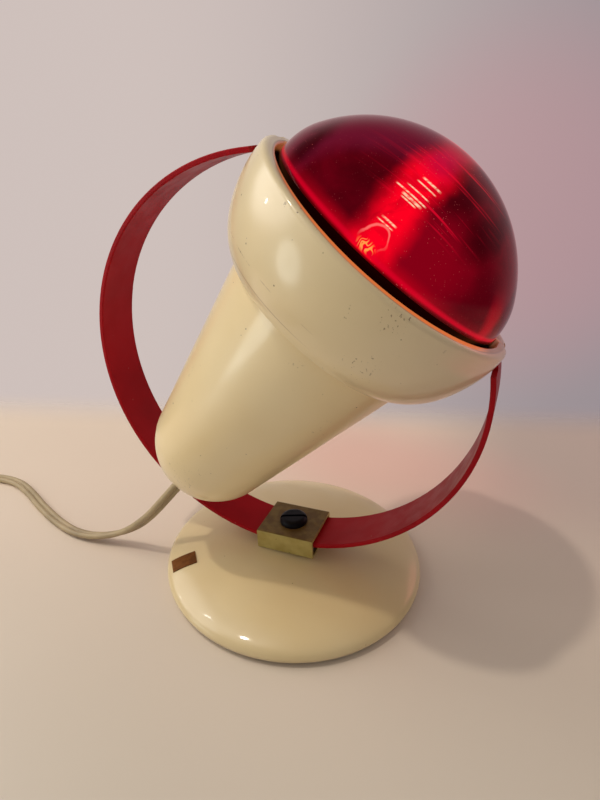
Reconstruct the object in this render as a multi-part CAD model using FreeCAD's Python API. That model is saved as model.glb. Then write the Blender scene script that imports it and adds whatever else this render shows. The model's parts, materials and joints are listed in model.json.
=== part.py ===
"""Infrared heat therapy lamp on a weighted foot.

A round bow of flat steel strip slides through a brass clip on the foot, and carries the
lamp head between two pivot screws.  The head is a moulded collar and a tapered rear
housing around a red-fronted reflector bulb in a porcelain lampholder.

Frame: millimetres, +Z up, origin at the centre of the foot's underside, the bow's plane
is XZ.  Head pieces are drawn along +Z with the pivot axis along X, then turned into place.
"""
import FreeCAD, Part
import math
import os

V = FreeCAD.Vector
X_AXIS = V(1, 0, 0)
Y_AXIS = V(0, 1, 0)
Z_AXIS = V(0, 0, 1)

# ---------------------------------------------------------------- fits
RUNNING_CLEARANCE = 0.05      # radial, a screw or pin in its hole
SLIDING_CLEARANCE = 0.15      # the bow in its shoe and pad
EASY_CLEARANCE = 0.3          # between curved faces that pass each other
TIP_CLEARANCE = 0.2           # past a screw's end
CUT_PAST = 1.0                # how far a cutting shape runs past the face it opens
SLOT_REACH = 1.2              # half length of a screwdriver slot, in head radii

# ---------------------------------------------------------------- foot
FOOT_RADIUS = 60.0
FOOT_EDGE_HEIGHT = 4.2        # height of the widest line
FOOT_CROWN_HEIGHT = 14.2      # flat seat at the top of the dome
FOOT_SEAT_RADIUS = 10.0
FOOT_WALL = 2.5
FOOT_LIFT = 1.2               # the shell's rim above the table
FOOT_RIM_INSET = 2.4          # how far the rim curls in below the widest line
FOOT_CURL_SHARE = 0.29        # how far along the curl its middle point lies
PLATE_THICKNESS = 1.2
PLATE_BOTTOM = 2.0            # height of the plate's underside
PLATE_CLEARANCE = 0.4
PAD_INSET = 10.0              # soft pad that the lamp stands on, inside the foot's edge
PAD_EDGE_RADIUS = 0.5
BALLAST_INSET = 9.0
BALLAST_BEVEL = 8.0
BALLAST_ROOM = 3.1            # between its top and the shell's crown
BALLAST_SIDE_SHARE = 0.35     # upright part of its side
BALLAST_BORE_RADIUS = 11.0
BOSS_RADIUS = 4.0
BOSS_CIRCLE_RADIUS = 32.0
BOSS_COUNT = 3
BOSS_TURN = 90.0              # direction of the first boss, degrees from +X
PLATE_SCREW_RADIUS = 1.75
PLATE_SCREW_HEAD_RADIUS = 3.2
PLATE_SCREW_HEAD_HEIGHT = 1.3
PLATE_SCREW_LENGTH = 6.0
BADGE_DOWN = 11.0             # size in plan, down the dome and round it
BADGE_ROUND = 7.6
BADGE_THICKNESS = 0.5
BADGE_INSET = 7.8             # its middle inside the foot's edge, in plan
BADGE_TURN = 214.3            # its direction round the foot, degrees from +X
BADGE_SKEW = 4.0              # its own turn from pointing outwards

# ---------------------------------------------------------------- bow
BOW_RADIUS = 83.5             # outside of the strip
BOW_THICKNESS = 2.0
BOW_WIDTH = 21.0
BOW_EDGE_RADIUS = 0.5
BOW_LEAN = 4.1                # degrees, the clip and the bow's centre lean to -X
BOW_OPENING_TURN = 53.6       # direction of the opening above +X, degrees
TONGUE_WIDTH = 6.0
TONGUE_THICKNESS = 1.2        # pressed thinner than the strip, from outside
TONGUE_SHOULDER_BELOW = 2.6   # the strip narrows this far below its bend, along the strip
TONGUE_BEND_RADIUS = 1.3      # middle of the strip
TONGUE_END_BEYOND = 2.3       # past the pivot axis
TONGUE_CLEARANCE = 0.1        # from the tongue to the washer

# ---------------------------------------------------------------- clip
CLIP_LENGTH = 27.0            # along the bow
CLIP_SIDE_WALL = 1.3
CLIP_TOP_WALL = 1.5
CLIP_FLOOR = 1.2
CLIP_EDGE_RADIUS = 0.8
CLIP_SIDE_CLEARANCE = 0.2     # beside the bow
SEAT_WASHER_RADIUS = 9.0
SEAT_WASHER_THICKNESS = 1.0   # at its middle; its top is cut to the lean
SHOE_INSET = 1.0              # from the clip's ends
SHOE_THICKNESS = 3.12         # under the bow, at the middle
SLIDE_PAD_INSET = 3.0
SLIDE_PAD_THICKNESS = 1.58    # over the bow, at the middle
PAD_TOP_GAP = 0.3
CLIP_SCREW_RADIUS = 2.5
CLIP_SCREW_HEAD_RADIUS = 6.4
CLIP_SCREW_HEAD_HEIGHT = 2.9
CLIP_SCREW_TIP_RADIUS = 1.5
CLIP_SCREW_TIP_DEPTH = 0.5
CLIP_SCREW_DOME_SHARE = 0.75  # rounded part of its head's height
SLOT_WIDTH = 1.4
SLOT_DEPTH = 1.3
SLOT_TURN = 20.0              # degrees from the bow's line
BOLT_RADIUS = 2.5
BOLT_HEAD_RADIUS = 4.4
BOLT_HEAD_HEIGHT = 2.2
BOLT_HEAD_LIFT = 0.4          # the head's narrow end above the clip's floor
BOLT_SLOT_WIDTH = 1.1
BOLT_SLOT_DEPTH = 0.9
BOLT_PAST_NUT = 0.8
BOLT_NUT_RADIUS = 4.6
BOLT_NUT_HEIGHT = 3.2
BOLT_WASHER_RADIUS = 7.0
BOLT_WASHER_THICKNESS = 1.0

# ---------------------------------------------------------------- head, along its axis from the pivot
PIVOT_ABOVE_BEND = 1.24       # from the end of the tongue's bend
HEAD_TILT = 8.2               # degrees that the bulb leans to +Y
WALL = 2.5
COLLAR_REAR = -33.1
COLLAR_LEDGE = 2.2            # its rear edge outside the housing
COLLAR_FLANKS = [(-24.0, -3.7), (-14.5, -0.1), (-4.9, 1.4)]    # height, and radius past the rim's
RIM_THICKENING = 1.2          # of the rim, over the wall
BULB_GAP = 1.7                # all round the bulb, inside the rim
RIM_HEIGHT = 3.3              # at the pivots, where the rim is highest
RIM_DIP = 3.5                 # how much lower it is half way between them
RIM_OUTER_ROUND = 2.0
RIM_INNER_ROUND = 1.2
RIM_LIP_DEPTH = 5.0           # straight part of the rim's inner face
PIVOT_WALL = 2.7              # of the collar, behind the flat of each round recess
PIVOT_RECESS_RADIUS = 5.4
HOUSING_FRONT_INSET = 10.2    # of its front, inside the rim's inner face
HOUSING_RIM_STEP = 1.6        # its front flange, outside its cone
TAIL_SPHERE_RADIUS = 26.2
TAIL_TIP = -132.0
LUG_COUNT = 3
LUG_TURN = 30.0               # direction of the first lug, degrees from the pivot axis
LUG_FROM_RIM = 3.5            # middle of each lug outside the housing's flange
LUG_RADIUS = 2.9
LUG_TOP = -24.5
CLAMP_RING_THICKNESS = 1.2
CLAMP_RING_WIDTH = 3.7
CLAMP_RING_GAP = 0.2          # over the housing's flange
CLAMP_EAR_RADIUS = 2.2
HOUSING_SCREW_RADIUS = 1.25
HOUSING_SCREW_HEAD_RADIUS = 2.4
HOUSING_SCREW_HEAD_HEIGHT = 1.5
HOUSING_SCREW_LENGTH = 4.0
SMALL_SLOT_WIDTH = 0.7

# pivots
PIVOT_SCREW_RADIUS = 1.1
PIVOT_HEAD_RADIUS = 1.9
PIVOT_HEAD_HEIGHT = 0.8
PIVOT_SLOT_WIDTH = 0.7
PIVOT_SLOT_DEPTH = 0.5
INSERT_RADIUS = 2.0
INSERT_LENGTH = 3.2
INSERT_COVER = 0.6            # collar material behind each insert
PIVOT_WASHER_THICKNESS = 0.3
PIVOT_WASHER_RADIUS = 2.4
PIVOT_BOSS_RADIUS = 3.4

# bulb
BULB_RADIUS = 48.2
BULB_SEAM = 2.3               # where the red front meets the mirrored rear
BULB_DOME_HEIGHT = 36.5
BULB_SHOULDER_ARC = 24.0      # radius of the dome's side, which runs into its crown
GLASS = 1.2
BULB_NECK_RADIUS = 16.0
BULB_NECK_AT = -51.5
BULB_SHOULDER_INSET = 1.2
BULB_SHOULDER_AT = -2.5
CAP_RADIUS = 13.2
CAP_WALL = 0.5
CAP_TOP = -59.5
CAP_BOTTOM = -83.5
CAP_INSULATOR_TIP = -86.1
CAP_INSULATOR_TIP_RADIUS = 5.5
CAP_CONTACT_RADIUS = 4.2
CAP_CONTACT_THICKNESS = 1.2
CAP_CONTACT_ROUND = 0.5
CAP_OVER_NECK = 3.0           # the cap reaches this far up the glass
CAP_FILL = 3.0                # depth of its insulator inside the cap
NECK_END_ABOVE = 0.5          # the glass neck's end above the cap's seat
MIRROR_STEPS = 5
STEM_RADIUS = 5.5
STEM_TOP = -39.5
STEM_FOOT_GAP = 0.6           # from the stem's foot to the neck's glass
STEM_TOP_SHARE = 0.6          # its top radius in stem radii
FILAMENT_AT = -21.5
FILAMENT_WIDTH = 20.0
FILAMENT_DEPTH = 7.5          # how far its middle bulges to one side
FILAMENT_END_RUN = 1.6        # straight run at each lead
FILAMENT_RADIUS = 0.9
FILAMENT_GAP = 0.02
LEAD_RADIUS = 0.6
LEAD_APART = 2.0              # of each lead from the axis, at the stem
LEAD_RISE = 4.0               # straight run above the stem, and below the filament

# lampholder
HOLDER_RADIUS = 18.4
HOLDER_TOP = -57.5
HOLDER_BOTTOM = -96.5
HOLDER_EDGE_RADIUS = 1.2
HOLDER_SHELL_WALL = 0.7
HOLDER_SHELL_CLEARANCE = 0.1  # round the bulb's cap
HOLDER_SHELL_SHORT = 1.0      # below the holder's top
HOLDER_SHELL_LIFT = 3.0       # above the well's floor
HOLDER_WELL_BOTTOM = -89.5
HOLDER_CONTACT_THICKNESS = 0.6
HOLDER_CONTACT_WIDTH = 8.0
BRACKET_THICKNESS = 1.2
BRACKET_PAST_TAIL = 1.5       # its edge outside the hollow of the tail, as the cone is wider there
BRACKET_OPENING_RADIUS = 5.0
BRACKET_SCREW_CIRCLE = 22.2
BRACKET_BOSS_RADIUS = 3.0
BRACKET_SCREW_RADIUS = 1.5
BRACKET_SCREW_HEAD_RADIUS = 2.7
BRACKET_SCREW_HEAD_HEIGHT = 1.6
BRACKET_SCREW_LENGTH = 7.0
HOLDER_SCREW_CIRCLE = 12.5
HOLDER_SCREW_LENGTH = 6.0
TERMINAL_AT = 12.0
TERMINAL_RADIUS = 2.6
TERMINAL_HEIGHT = 2.0
TERMINAL_ROOM = 3.4           # half width of the bracket's slot, and its reach past the terminal
GRIP_PLATE_WIDTH = 17.0
GRIP_PLATE_LENGTH = 15.0
GRIP_JOIN_DEPTH = 4.0         # of the bracket's bend into the grip plate
GRIP_EDGE = 1.0               # from the bar to the plate's end
CORD_GRIP_CLEARANCE = 0.2     # each side of the cord
CLAMP_BAR_LENGTH = 9.0
CLAMP_BAR_THICKNESS = 1.8
CLAMP_SCREW_PAST = 0.6
CLAMP_SCREW_APART = 11.0
CLAMP_SCREW_RADIUS = 1.25
CLAMP_SCREW_HEAD_RADIUS = 2.3
CLAMP_SCREW_HEAD_HEIGHT = 1.4

# ---------------------------------------------------------------- cord
CORD_DIAMETER = 5.6           # width of the flat twin flex
CORD_LAYER = 2.95             # from one layer of the coil to the next, as the flex lies flat
CORD_START_GAP = 0.5
CORD_BORE_CLEARANCE = 0.1
GROMMET_LENGTH = 4.0          # outside the housing
GROMMET_WALL = 2.2            # between the cord and the hole
GROMMET_END_WALL = 2.0
GROMMET_LIP = 1.4             # outside the hole
GROMMET_FLANGE = 1.4          # inside the housing
GROMMET_BEVEL = 0.6
GROMMET_FACE_ROOM = 0.8       # its widest part starts this far outside the tail
GROMMET_FLANGE_GAP = 0.3      # inside the wall
CORE_RADIUS = 1.0
CORE_APART = 1.4              # of each core from the axis, at the sheath's end
CORE_RISE = 2.2
SHEATH_PAST_GRIP = 0.5
CORD_FIRST_RUN = 10.0
CORD_ROUTE = [                # after the straight first run, hand-laid; z is the cord's middle
    (-66.5, -22.5, 22.5),
    (-80.0, -22.0, 10.4),
    (-93.5, -25.2, 4.0),
    (-107.5, -27.0, 2.8),
    (-123.0, -23.5, 2.8),
    (-141.0, -16.5, 2.8),
    (-157.0, -8.6, 2.8),
    (-170.4, -4.4, 2.8),
    (-183.3, -5.6, 2.8),
    (-194.8, -11.6, 2.8),
    (-203.2, -21.5, 2.8),
    (-207.7, -34.7, 2.8),
    (-208.6, -50.5, 2.8),
    (-206.6, -68.0, 2.8),
    (-205.6, -86.0, 2.8),
]
COIL_CENTRE = (-165.0, -104.0)
COIL_INNER_TURN = 23.0        # radius of the smallest turn's middle
COIL_TURN_GAP = 0.2
COIL_TURNS_ACROSS = 4
COIL_LAYERS = 2
COIL_EDGE_RADIUS = 1.4
PLUG_LEAD = [                 # from the coil to the plug
    (-160.0, -144.1, 4.9),
    (-150.0, -144.6, 5.9),
    (-141.0, -144.8, 7.0),
]
PLUG_LENGTH = 34.0
PLUG_BACK_WIDTH = 12.0
PLUG_WIDTH = 26.0
PLUG_THICKNESS = 14.0
PLUG_NECK_LENGTH = 9.0
PLUG_SHOULDER_SHARE = 0.55    # where it reaches full width, of its length
PLUG_EDGE_RADIUS = 2.5
PIN_RADIUS = 2.0
PIN_LENGTH = 19.0
PIN_SPACING = 18.6
PIN_ROOT = 8.0                # length of pin inside the plug
PIN_TIP_ROUND = 0.8

# ---------------------------------------------------------------- derived
PAD_RADIUS = FOOT_RADIUS - PAD_INSET
PLATE_TOP = PLATE_BOTTOM + PLATE_THICKNESS
BALLAST_RADIUS = FOOT_RADIUS - BALLAST_INSET
BALLAST_TOP_RADIUS = BALLAST_RADIUS - BALLAST_BEVEL
BALLAST_HEIGHT = FOOT_CROWN_HEIGHT - FOOT_WALL - BALLAST_ROOM - PLATE_TOP
BADGE_RADIUS_AT = FOOT_RADIUS - BADGE_INSET

CLIP_WIDTH = BOW_WIDTH + 2 * (CLIP_SIDE_CLEARANCE + CLIP_SIDE_WALL)
BOW_UNDERSIDE = CLIP_FLOOR + SHOE_THICKNESS
TUNNEL_TOP = BOW_UNDERSIDE + BOW_THICKNESS + SLIDE_PAD_THICKNESS + PAD_TOP_GAP
CLIP_HEIGHT = TUNNEL_TOP + CLIP_TOP_WALL
SHOE_LENGTH = CLIP_LENGTH - 2 * SHOE_INSET
PAD_LENGTH = CLIP_LENGTH - 2 * SLIDE_PAD_INSET
CLIP_BASE_HEIGHT = FOOT_CROWN_HEIGHT + SEAT_WASHER_THICKNESS
CLIP_ORIGIN = V(0, 0, CLIP_BASE_HEIGHT)

BOW_INNER_RADIUS = BOW_RADIUS - BOW_THICKNESS
BOW_MID_RADIUS = BOW_RADIUS - BOW_THICKNESS / 2
LEAN = math.radians(BOW_LEAN)
BOW_CENTRE_ALONG = BOW_RADIUS + BOW_UNDERSIDE
BOW_CENTRE = V(-BOW_CENTRE_ALONG * math.sin(LEAN), 0, CLIP_BASE_HEIGHT + BOW_CENTRE_ALONG * math.cos(LEAN))

BULB_SHOULDER_RADIUS = BULB_RADIUS - BULB_SHOULDER_INSET
RIM_INNER_RADIUS = BULB_RADIUS + BULB_GAP
RIM_OUTER_RADIUS = RIM_INNER_RADIUS + WALL + RIM_THICKENING
HOUSING_FRONT_RADIUS = RIM_INNER_RADIUS - HOUSING_FRONT_INSET
FLANK_POINTS = [(RIM_OUTER_RADIUS + past, height) for height, past in COLLAR_FLANKS]
COLLAR_REAR_RADIUS = HOUSING_FRONT_RADIUS + COLLAR_LEDGE
HOUSING_RIM_RADIUS = HOUSING_FRONT_RADIUS + HOUSING_RIM_STEP
HOUSING_RIM_FRONT = LUG_TOP - CLAMP_RING_GAP
LUG_CIRCLE_RADIUS = HOUSING_RIM_RADIUS + LUG_FROM_RIM
CLAMP_RING_INNER_RADIUS = HOUSING_RIM_RADIUS - CLAMP_RING_WIDTH
BRACKET_RADIUS = TAIL_SPHERE_RADIUS - WALL + BRACKET_PAST_TAIL
CABLE_HOLE_RADIUS = CORD_DIAMETER / 2 + GROMMET_WALL
GROMMET_END_RADIUS = CORD_DIAMETER / 2 + GROMMET_END_WALL
GROMMET_RADIUS = CABLE_HOLE_RADIUS + GROMMET_LIP
GROMMET_FACE = TAIL_TIP - GROMMET_LENGTH
COIL_TURN_SPACING = CORD_DIAMETER + COIL_TURN_GAP

# the tongues and their bends, in the bow's frame
PIVOT_FLAT_AT = RIM_INNER_RADIUS + PIVOT_WALL
TONGUE_FACE = PIVOT_FLAT_AT + PIVOT_WASHER_THICKNESS + TONGUE_CLEARANCE
TONGUE_BACK = TONGUE_FACE + TONGUE_THICKNESS
BEND_AT = TONGUE_FACE + BOW_THICKNESS / 2 + TONGUE_BEND_RADIUS
BEND_HEIGHT = math.sqrt((BOW_MID_RADIUS + TONGUE_BEND_RADIUS) ** 2 - BEND_AT ** 2)
PIVOT_FROM_BOW_CENTRE = BEND_HEIGHT + PIVOT_ABOVE_BEND


# ---------------------------------------------------------------- small tools
def cylinder(radius, low, high, x=0.0, y=0.0):
    """An upright cylinder between two heights."""
    return Part.makeCylinder(radius, high - low, V(x, y, low), Z_AXIS)


def tube(outer, inner, low, high, x=0.0, y=0.0):
    return cylinder(outer, low, high, x, y).cut(cylinder(inner, low, high, x, y))


def box(x0, x1, y0, y1, z0, z1):
    return Part.makeBox(x1 - x0, y1 - y0, z1 - z0, V(x0, y0, z0))


def line(a, b):
    return Part.LineSegment(V(a[0], 0, a[1]), V(b[0], 0, b[1])).toShape()


def arc(a, b, c):
    return Part.Arc(V(a[0], 0, a[1]), V(b[0], 0, b[1]), V(c[0], 0, c[1])).toShape()


def smooth(points):
    """A curve through (radius, height) points."""
    curve = Part.BSplineCurve()
    curve.interpolate([V(r, 0, z) for r, z in points])
    return curve.toShape()


def turned(edges):
    """A closed outline of (radius, height) edges, turned about Z."""
    return Part.Face(Part.Wire(edges)).revolve(V(0, 0, 0), Z_AXIS, 360)


def turned_points(points):
    edges = [line(a, b) for a, b in zip(points, points[1:] + points[:1])]
    return turned(edges)


def around(shape, count, start=0.0):
    """Copies of a shape spaced round Z."""
    copies = []
    for index in range(count):
        copy = shape.copy()
        copy.rotate(V(0, 0, 0), Z_AXIS, start + index * 360.0 / count)
        copies.append(copy)
    return copies


def slotted(head, top, slot_width, slot_depth, head_radius, turn=0.0):
    """A straight screwdriver slot in the top of a head on the Z axis."""
    reach = head_radius * SLOT_REACH
    slot = box(-reach, reach, -slot_width / 2, slot_width / 2, top - slot_depth, top + slot_depth)
    slot.rotate(V(0, 0, 0), Z_AXIS, turn)
    return head.cut(slot)


def pan_screw(radius, length, head_radius, head_height, slot_width=0.9):
    """A pan-head screw: its head stands on z = 0 and its shank hangs below."""
    edge_share = 0.4
    slot_share = 0.5
    head = cylinder(head_radius, 0, head_height)
    head = head.makeFillet(head_height * edge_share, [head.Edges[0]])
    screw = head.fuse(cylinder(radius, -length, 0)).removeSplitter()
    return slotted(screw, head_height, slot_width, head_height * slot_share, head_radius)


def placed(shape, x, y, z, axis=None, degrees=0.0):
    copy = shape.copy()
    if axis is not None:
        copy.rotate(V(0, 0, 0), axis, degrees)
    copy.translate(V(x, y, z))
    return copy


def on_bow(shape):
    """From the bow's own frame (centre at 0, opening up) to its place."""
    copy = shape.copy()
    copy.rotate(V(0, 0, 0), Y_AXIS, 90 - BOW_OPENING_TURN)
    copy.translate(BOW_CENTRE)
    return copy


def on_head(shape):
    """From the head's own frame (pivot at 0, bulb up) to its place."""
    copy = shape.copy()
    copy.rotate(V(0, 0, 0), X_AXIS, -HEAD_TILT)
    copy.translate(V(0, 0, PIVOT_FROM_BOW_CENTRE))
    return on_bow(copy)


def on_clip(shape):
    """From the clip's own frame (floor at 0, bow along X) to its place."""
    copy = shape.copy()
    copy.rotate(V(0, 0, 0), Y_AXIS, -BOW_LEAN)
    copy.translate(CLIP_ORIGIN)
    return copy


def head_point(x, y, s):
    return on_head(Part.Vertex(x, y, s)).Point


def save(name, shapes):
    """One STEP file for each node; a list becomes a group of separate solids."""
    solids = []
    for shape in shapes if isinstance(shapes, list) else [shapes]:
        solids.extend(shape.Solids)
    for solid in solids:
        if not solid.isValid():
            print("INVALID SOLID in", name)
    result = solids[0] if len(solids) == 1 else Part.makeCompound(solids)
    result.exportStep("parts/" + name + ".step")
    volume = sum(solid.Volume for solid in solids)
    print("%-24s %2d solid(s) %10.1f mm3" % (name, len(solids), volume))


# ---------------------------------------------------------------- cords as runs and arcs
ARC_SHARE = 0.45              # of the shorter run beside a corner, taken by its arc


def round_path(points):
    """Straight runs joined by tangent arcs; prints each arc's radius."""
    edges = []
    start = points[0]
    radii = []
    for before, corner, after in zip(points, points[1:], points[2:]):
        into = corner.sub(before)
        out = after.sub(corner)
        turn = into.getAngle(out)
        reach = ARC_SHARE * min(into.Length, out.Length)
        radii.append(reach / math.tan(turn / 2))
        into.normalize()
        out.normalize()
        first = corner.sub(into * reach)
        last = corner.add(out * reach)
        bisector = out.sub(into)
        bisector.normalize()
        depth = radii[-1] * (1 / math.cos(turn / 2) - 1)
        middle = corner.add(bisector * depth)
        edges.append(Part.LineSegment(start, first).toShape())
        edges.append(Part.Arc(first, middle, last).toShape())
        start = last
    edges.append(Part.LineSegment(start, points[-1]).toShape())
    return Part.Wire(edges), radii


def round_bar(points, radius, label):
    """A round bar along a route, with its volume compared to section times length."""
    path, radii = round_path(points)
    direction = points[1].sub(points[0])
    section = Part.Wire(Part.Circle(points[0], direction, radius).toShape())
    solid = path.makePipeShell([section], True, False)
    expected = math.pi * radius ** 2 * path.Length
    print("%-24s length %.1f, radii %s, volume / expected %.4f"
          % (label, path.Length, [round(r, 1) for r in radii], solid.Volume / expected))
    return solid


# ---------------------------------------------------------------- foot
def foot_ellipse(radius, height, low_radius, high_radius):
    """The dome's line from its seat down to its widest point."""
    points = []
    steps = 8
    top_turn = math.acos(high_radius / radius)
    low_turn = math.acos(low_radius / radius)
    for step in range(steps + 1):
        turn = top_turn + (low_turn - top_turn) * step / steps
        points.append((radius * math.cos(turn), FOOT_EDGE_HEIGHT + height * math.sin(turn)))
    return points


def make_foot():
    seat_share = math.sqrt(1 - (FOOT_SEAT_RADIUS / FOOT_RADIUS) ** 2)
    dome_height = (FOOT_CROWN_HEIGHT - FOOT_EDGE_HEIGHT) / seat_share
    outer = foot_ellipse(FOOT_RADIUS, dome_height, FOOT_RADIUS, FOOT_SEAT_RADIUS)
    inner_radius = FOOT_RADIUS - FOOT_WALL
    inner_height = dome_height - FOOT_WALL
    inner = foot_ellipse(inner_radius, inner_height, inner_radius, FOOT_SEAT_RADIUS)
    under = FOOT_CROWN_HEIGHT - FOOT_WALL
    rim_outer = (FOOT_RADIUS - FOOT_RIM_INSET, FOOT_LIFT)
    rim_inner = (inner_radius, FOOT_LIFT)
    curl = (FOOT_RADIUS - FOOT_RIM_INSET * FOOT_CURL_SHARE,
            FOOT_LIFT + (FOOT_EDGE_HEIGHT - FOOT_LIFT) * FOOT_CURL_SHARE)
    outline = [
        line((0, FOOT_CROWN_HEIGHT), outer[0]),
        smooth(outer),
        arc(outer[-1], curl, rim_outer),
        line(rim_outer, rim_inner),
        line(rim_inner, inner[-1]),
        smooth(inner[::-1]),
        line(inner[0], (FOOT_SEAT_RADIUS, under)),
        line((FOOT_SEAT_RADIUS, under), (0, under)),
        line((0, under), (0, FOOT_CROWN_HEIGHT)),
    ]
    shell = turned(outline)
    into_wall = FOOT_WALL * 0.4
    solid_dome = turned_points([(0, PLATE_TOP), (0, under + into_wall)] + [
        (r, z + into_wall) for r, z in inner] + [(inner[-1][0], PLATE_TOP)])
    boss = cylinder(BOSS_RADIUS, PLATE_TOP, FOOT_CROWN_HEIGHT, BOSS_CIRCLE_RADIUS, 0)
    bosses = [b.common(solid_dome) for b in around(boss, BOSS_COUNT, BOSS_TURN)]
    for boss in bosses:
        shell = shell.fuse(boss)
    hole = cylinder(PLATE_SCREW_RADIUS + RUNNING_CLEARANCE, PLATE_TOP - CUT_PAST,
                    PLATE_TOP + PLATE_SCREW_LENGTH - PLATE_THICKNESS, BOSS_CIRCLE_RADIUS, 0)
    for cut in around(hole, BOSS_COUNT, BOSS_TURN):
        shell = shell.cut(cut)
    shell = shell.cut(cylinder(BOLT_RADIUS + EASY_CLEARANCE, under - CUT_PAST, FOOT_CROWN_HEIGHT + CUT_PAST))
    save("foot_shell", shell.removeSplitter())

    plate = cylinder(inner_radius - PLATE_CLEARANCE, PLATE_BOTTOM, PLATE_TOP)
    clear = cylinder(PLATE_SCREW_RADIUS + EASY_CLEARANCE, PLATE_BOTTOM - CUT_PAST, PLATE_TOP + CUT_PAST,
                     BOSS_CIRCLE_RADIUS, 0)
    for cut in around(clear, BOSS_COUNT, BOSS_TURN):
        plate = plate.cut(cut)
    save("foot_plate", plate)

    ballast_top = PLATE_TOP + BALLAST_HEIGHT
    ballast = turned_points([
        (BALLAST_BORE_RADIUS, PLATE_TOP), (BALLAST_RADIUS, PLATE_TOP),
        (BALLAST_RADIUS, PLATE_TOP + BALLAST_HEIGHT * BALLAST_SIDE_SHARE),
        (BALLAST_TOP_RADIUS, ballast_top), (BALLAST_BORE_RADIUS, ballast_top)])
    clear = cylinder(BOSS_RADIUS + EASY_CLEARANCE, PLATE_TOP - CUT_PAST, ballast_top + CUT_PAST,
                     BOSS_CIRCLE_RADIUS, 0)
    for cut in around(clear, BOSS_COUNT, BOSS_TURN):
        ballast = ballast.cut(cut)
    save("foot_ballast", ballast)

    screw = pan_screw(PLATE_SCREW_RADIUS, PLATE_SCREW_LENGTH, PLATE_SCREW_HEAD_RADIUS,
                      PLATE_SCREW_HEAD_HEIGHT)
    screw = placed(screw, BOSS_CIRCLE_RADIUS, 0, PLATE_BOTTOM, X_AXIS, 180)
    save("foot_plate_screws", around(screw, BOSS_COUNT, BOSS_TURN))

    pad = cylinder(PAD_RADIUS, 0, PLATE_BOTTOM)
    lip = [edge for edge in pad.Edges if edge.BoundBox.ZMax < PLATE_BOTTOM / 2]
    pad = pad.makeFillet(PAD_EDGE_RADIUS, lip)
    clear = cylinder(PLATE_SCREW_HEAD_RADIUS + EASY_CLEARANCE, -CUT_PAST, PLATE_BOTTOM + CUT_PAST,
                     BOSS_CIRCLE_RADIUS, 0)
    for cut in around(clear, BOSS_COUNT, BOSS_TURN):
        pad = pad.cut(cut)
    save("foot_pad", pad)

    block = box(-BADGE_DOWN / 2, BADGE_DOWN / 2, -BADGE_ROUND / 2, BADGE_ROUND / 2, 0, FOOT_CROWN_HEIGHT)
    block.rotate(V(0, 0, 0), Z_AXIS, BADGE_SKEW)
    block.translate(V(BADGE_RADIUS_AT, 0, 0))
    low = turned(dome_cap(outer, 0.0))
    high = turned(dome_cap(outer, BADGE_THICKNESS))
    badge = block.common(high).cut(low)
    badge.rotate(V(0, 0, 0), Z_AXIS, BADGE_TURN)
    save("foot_badge", badge)


def dome_cap(outer, rise):
    """The outline of the foot's dome, raised by this much and closed below the table."""
    raised = [(r, z + rise) for r, z in outer]
    floor = -CUT_PAST
    return [
        line((0, raised[0][1]), raised[0]),
        smooth(raised),
        line(raised[-1], (raised[-1][0], floor)),
        line((raised[-1][0], floor), (0, floor)),
        line((0, floor), (0, raised[0][1])),
    ]


# ---------------------------------------------------------------- clip and its screws
def strip_in_clip(radius, length, low, high):
    """In the clip's frame: the space under the bow's cylinder of this radius, or above it."""
    half = BOW_WIDTH / 2
    block = box(-length / 2, length / 2, -half, half, low, high)
    round_body = Part.makeCylinder(radius, BOW_WIDTH + 2 * CUT_PAST,
                                   V(0, -half - CUT_PAST, BOW_CENTRE_ALONG), Y_AXIS)
    return block, round_body


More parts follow.
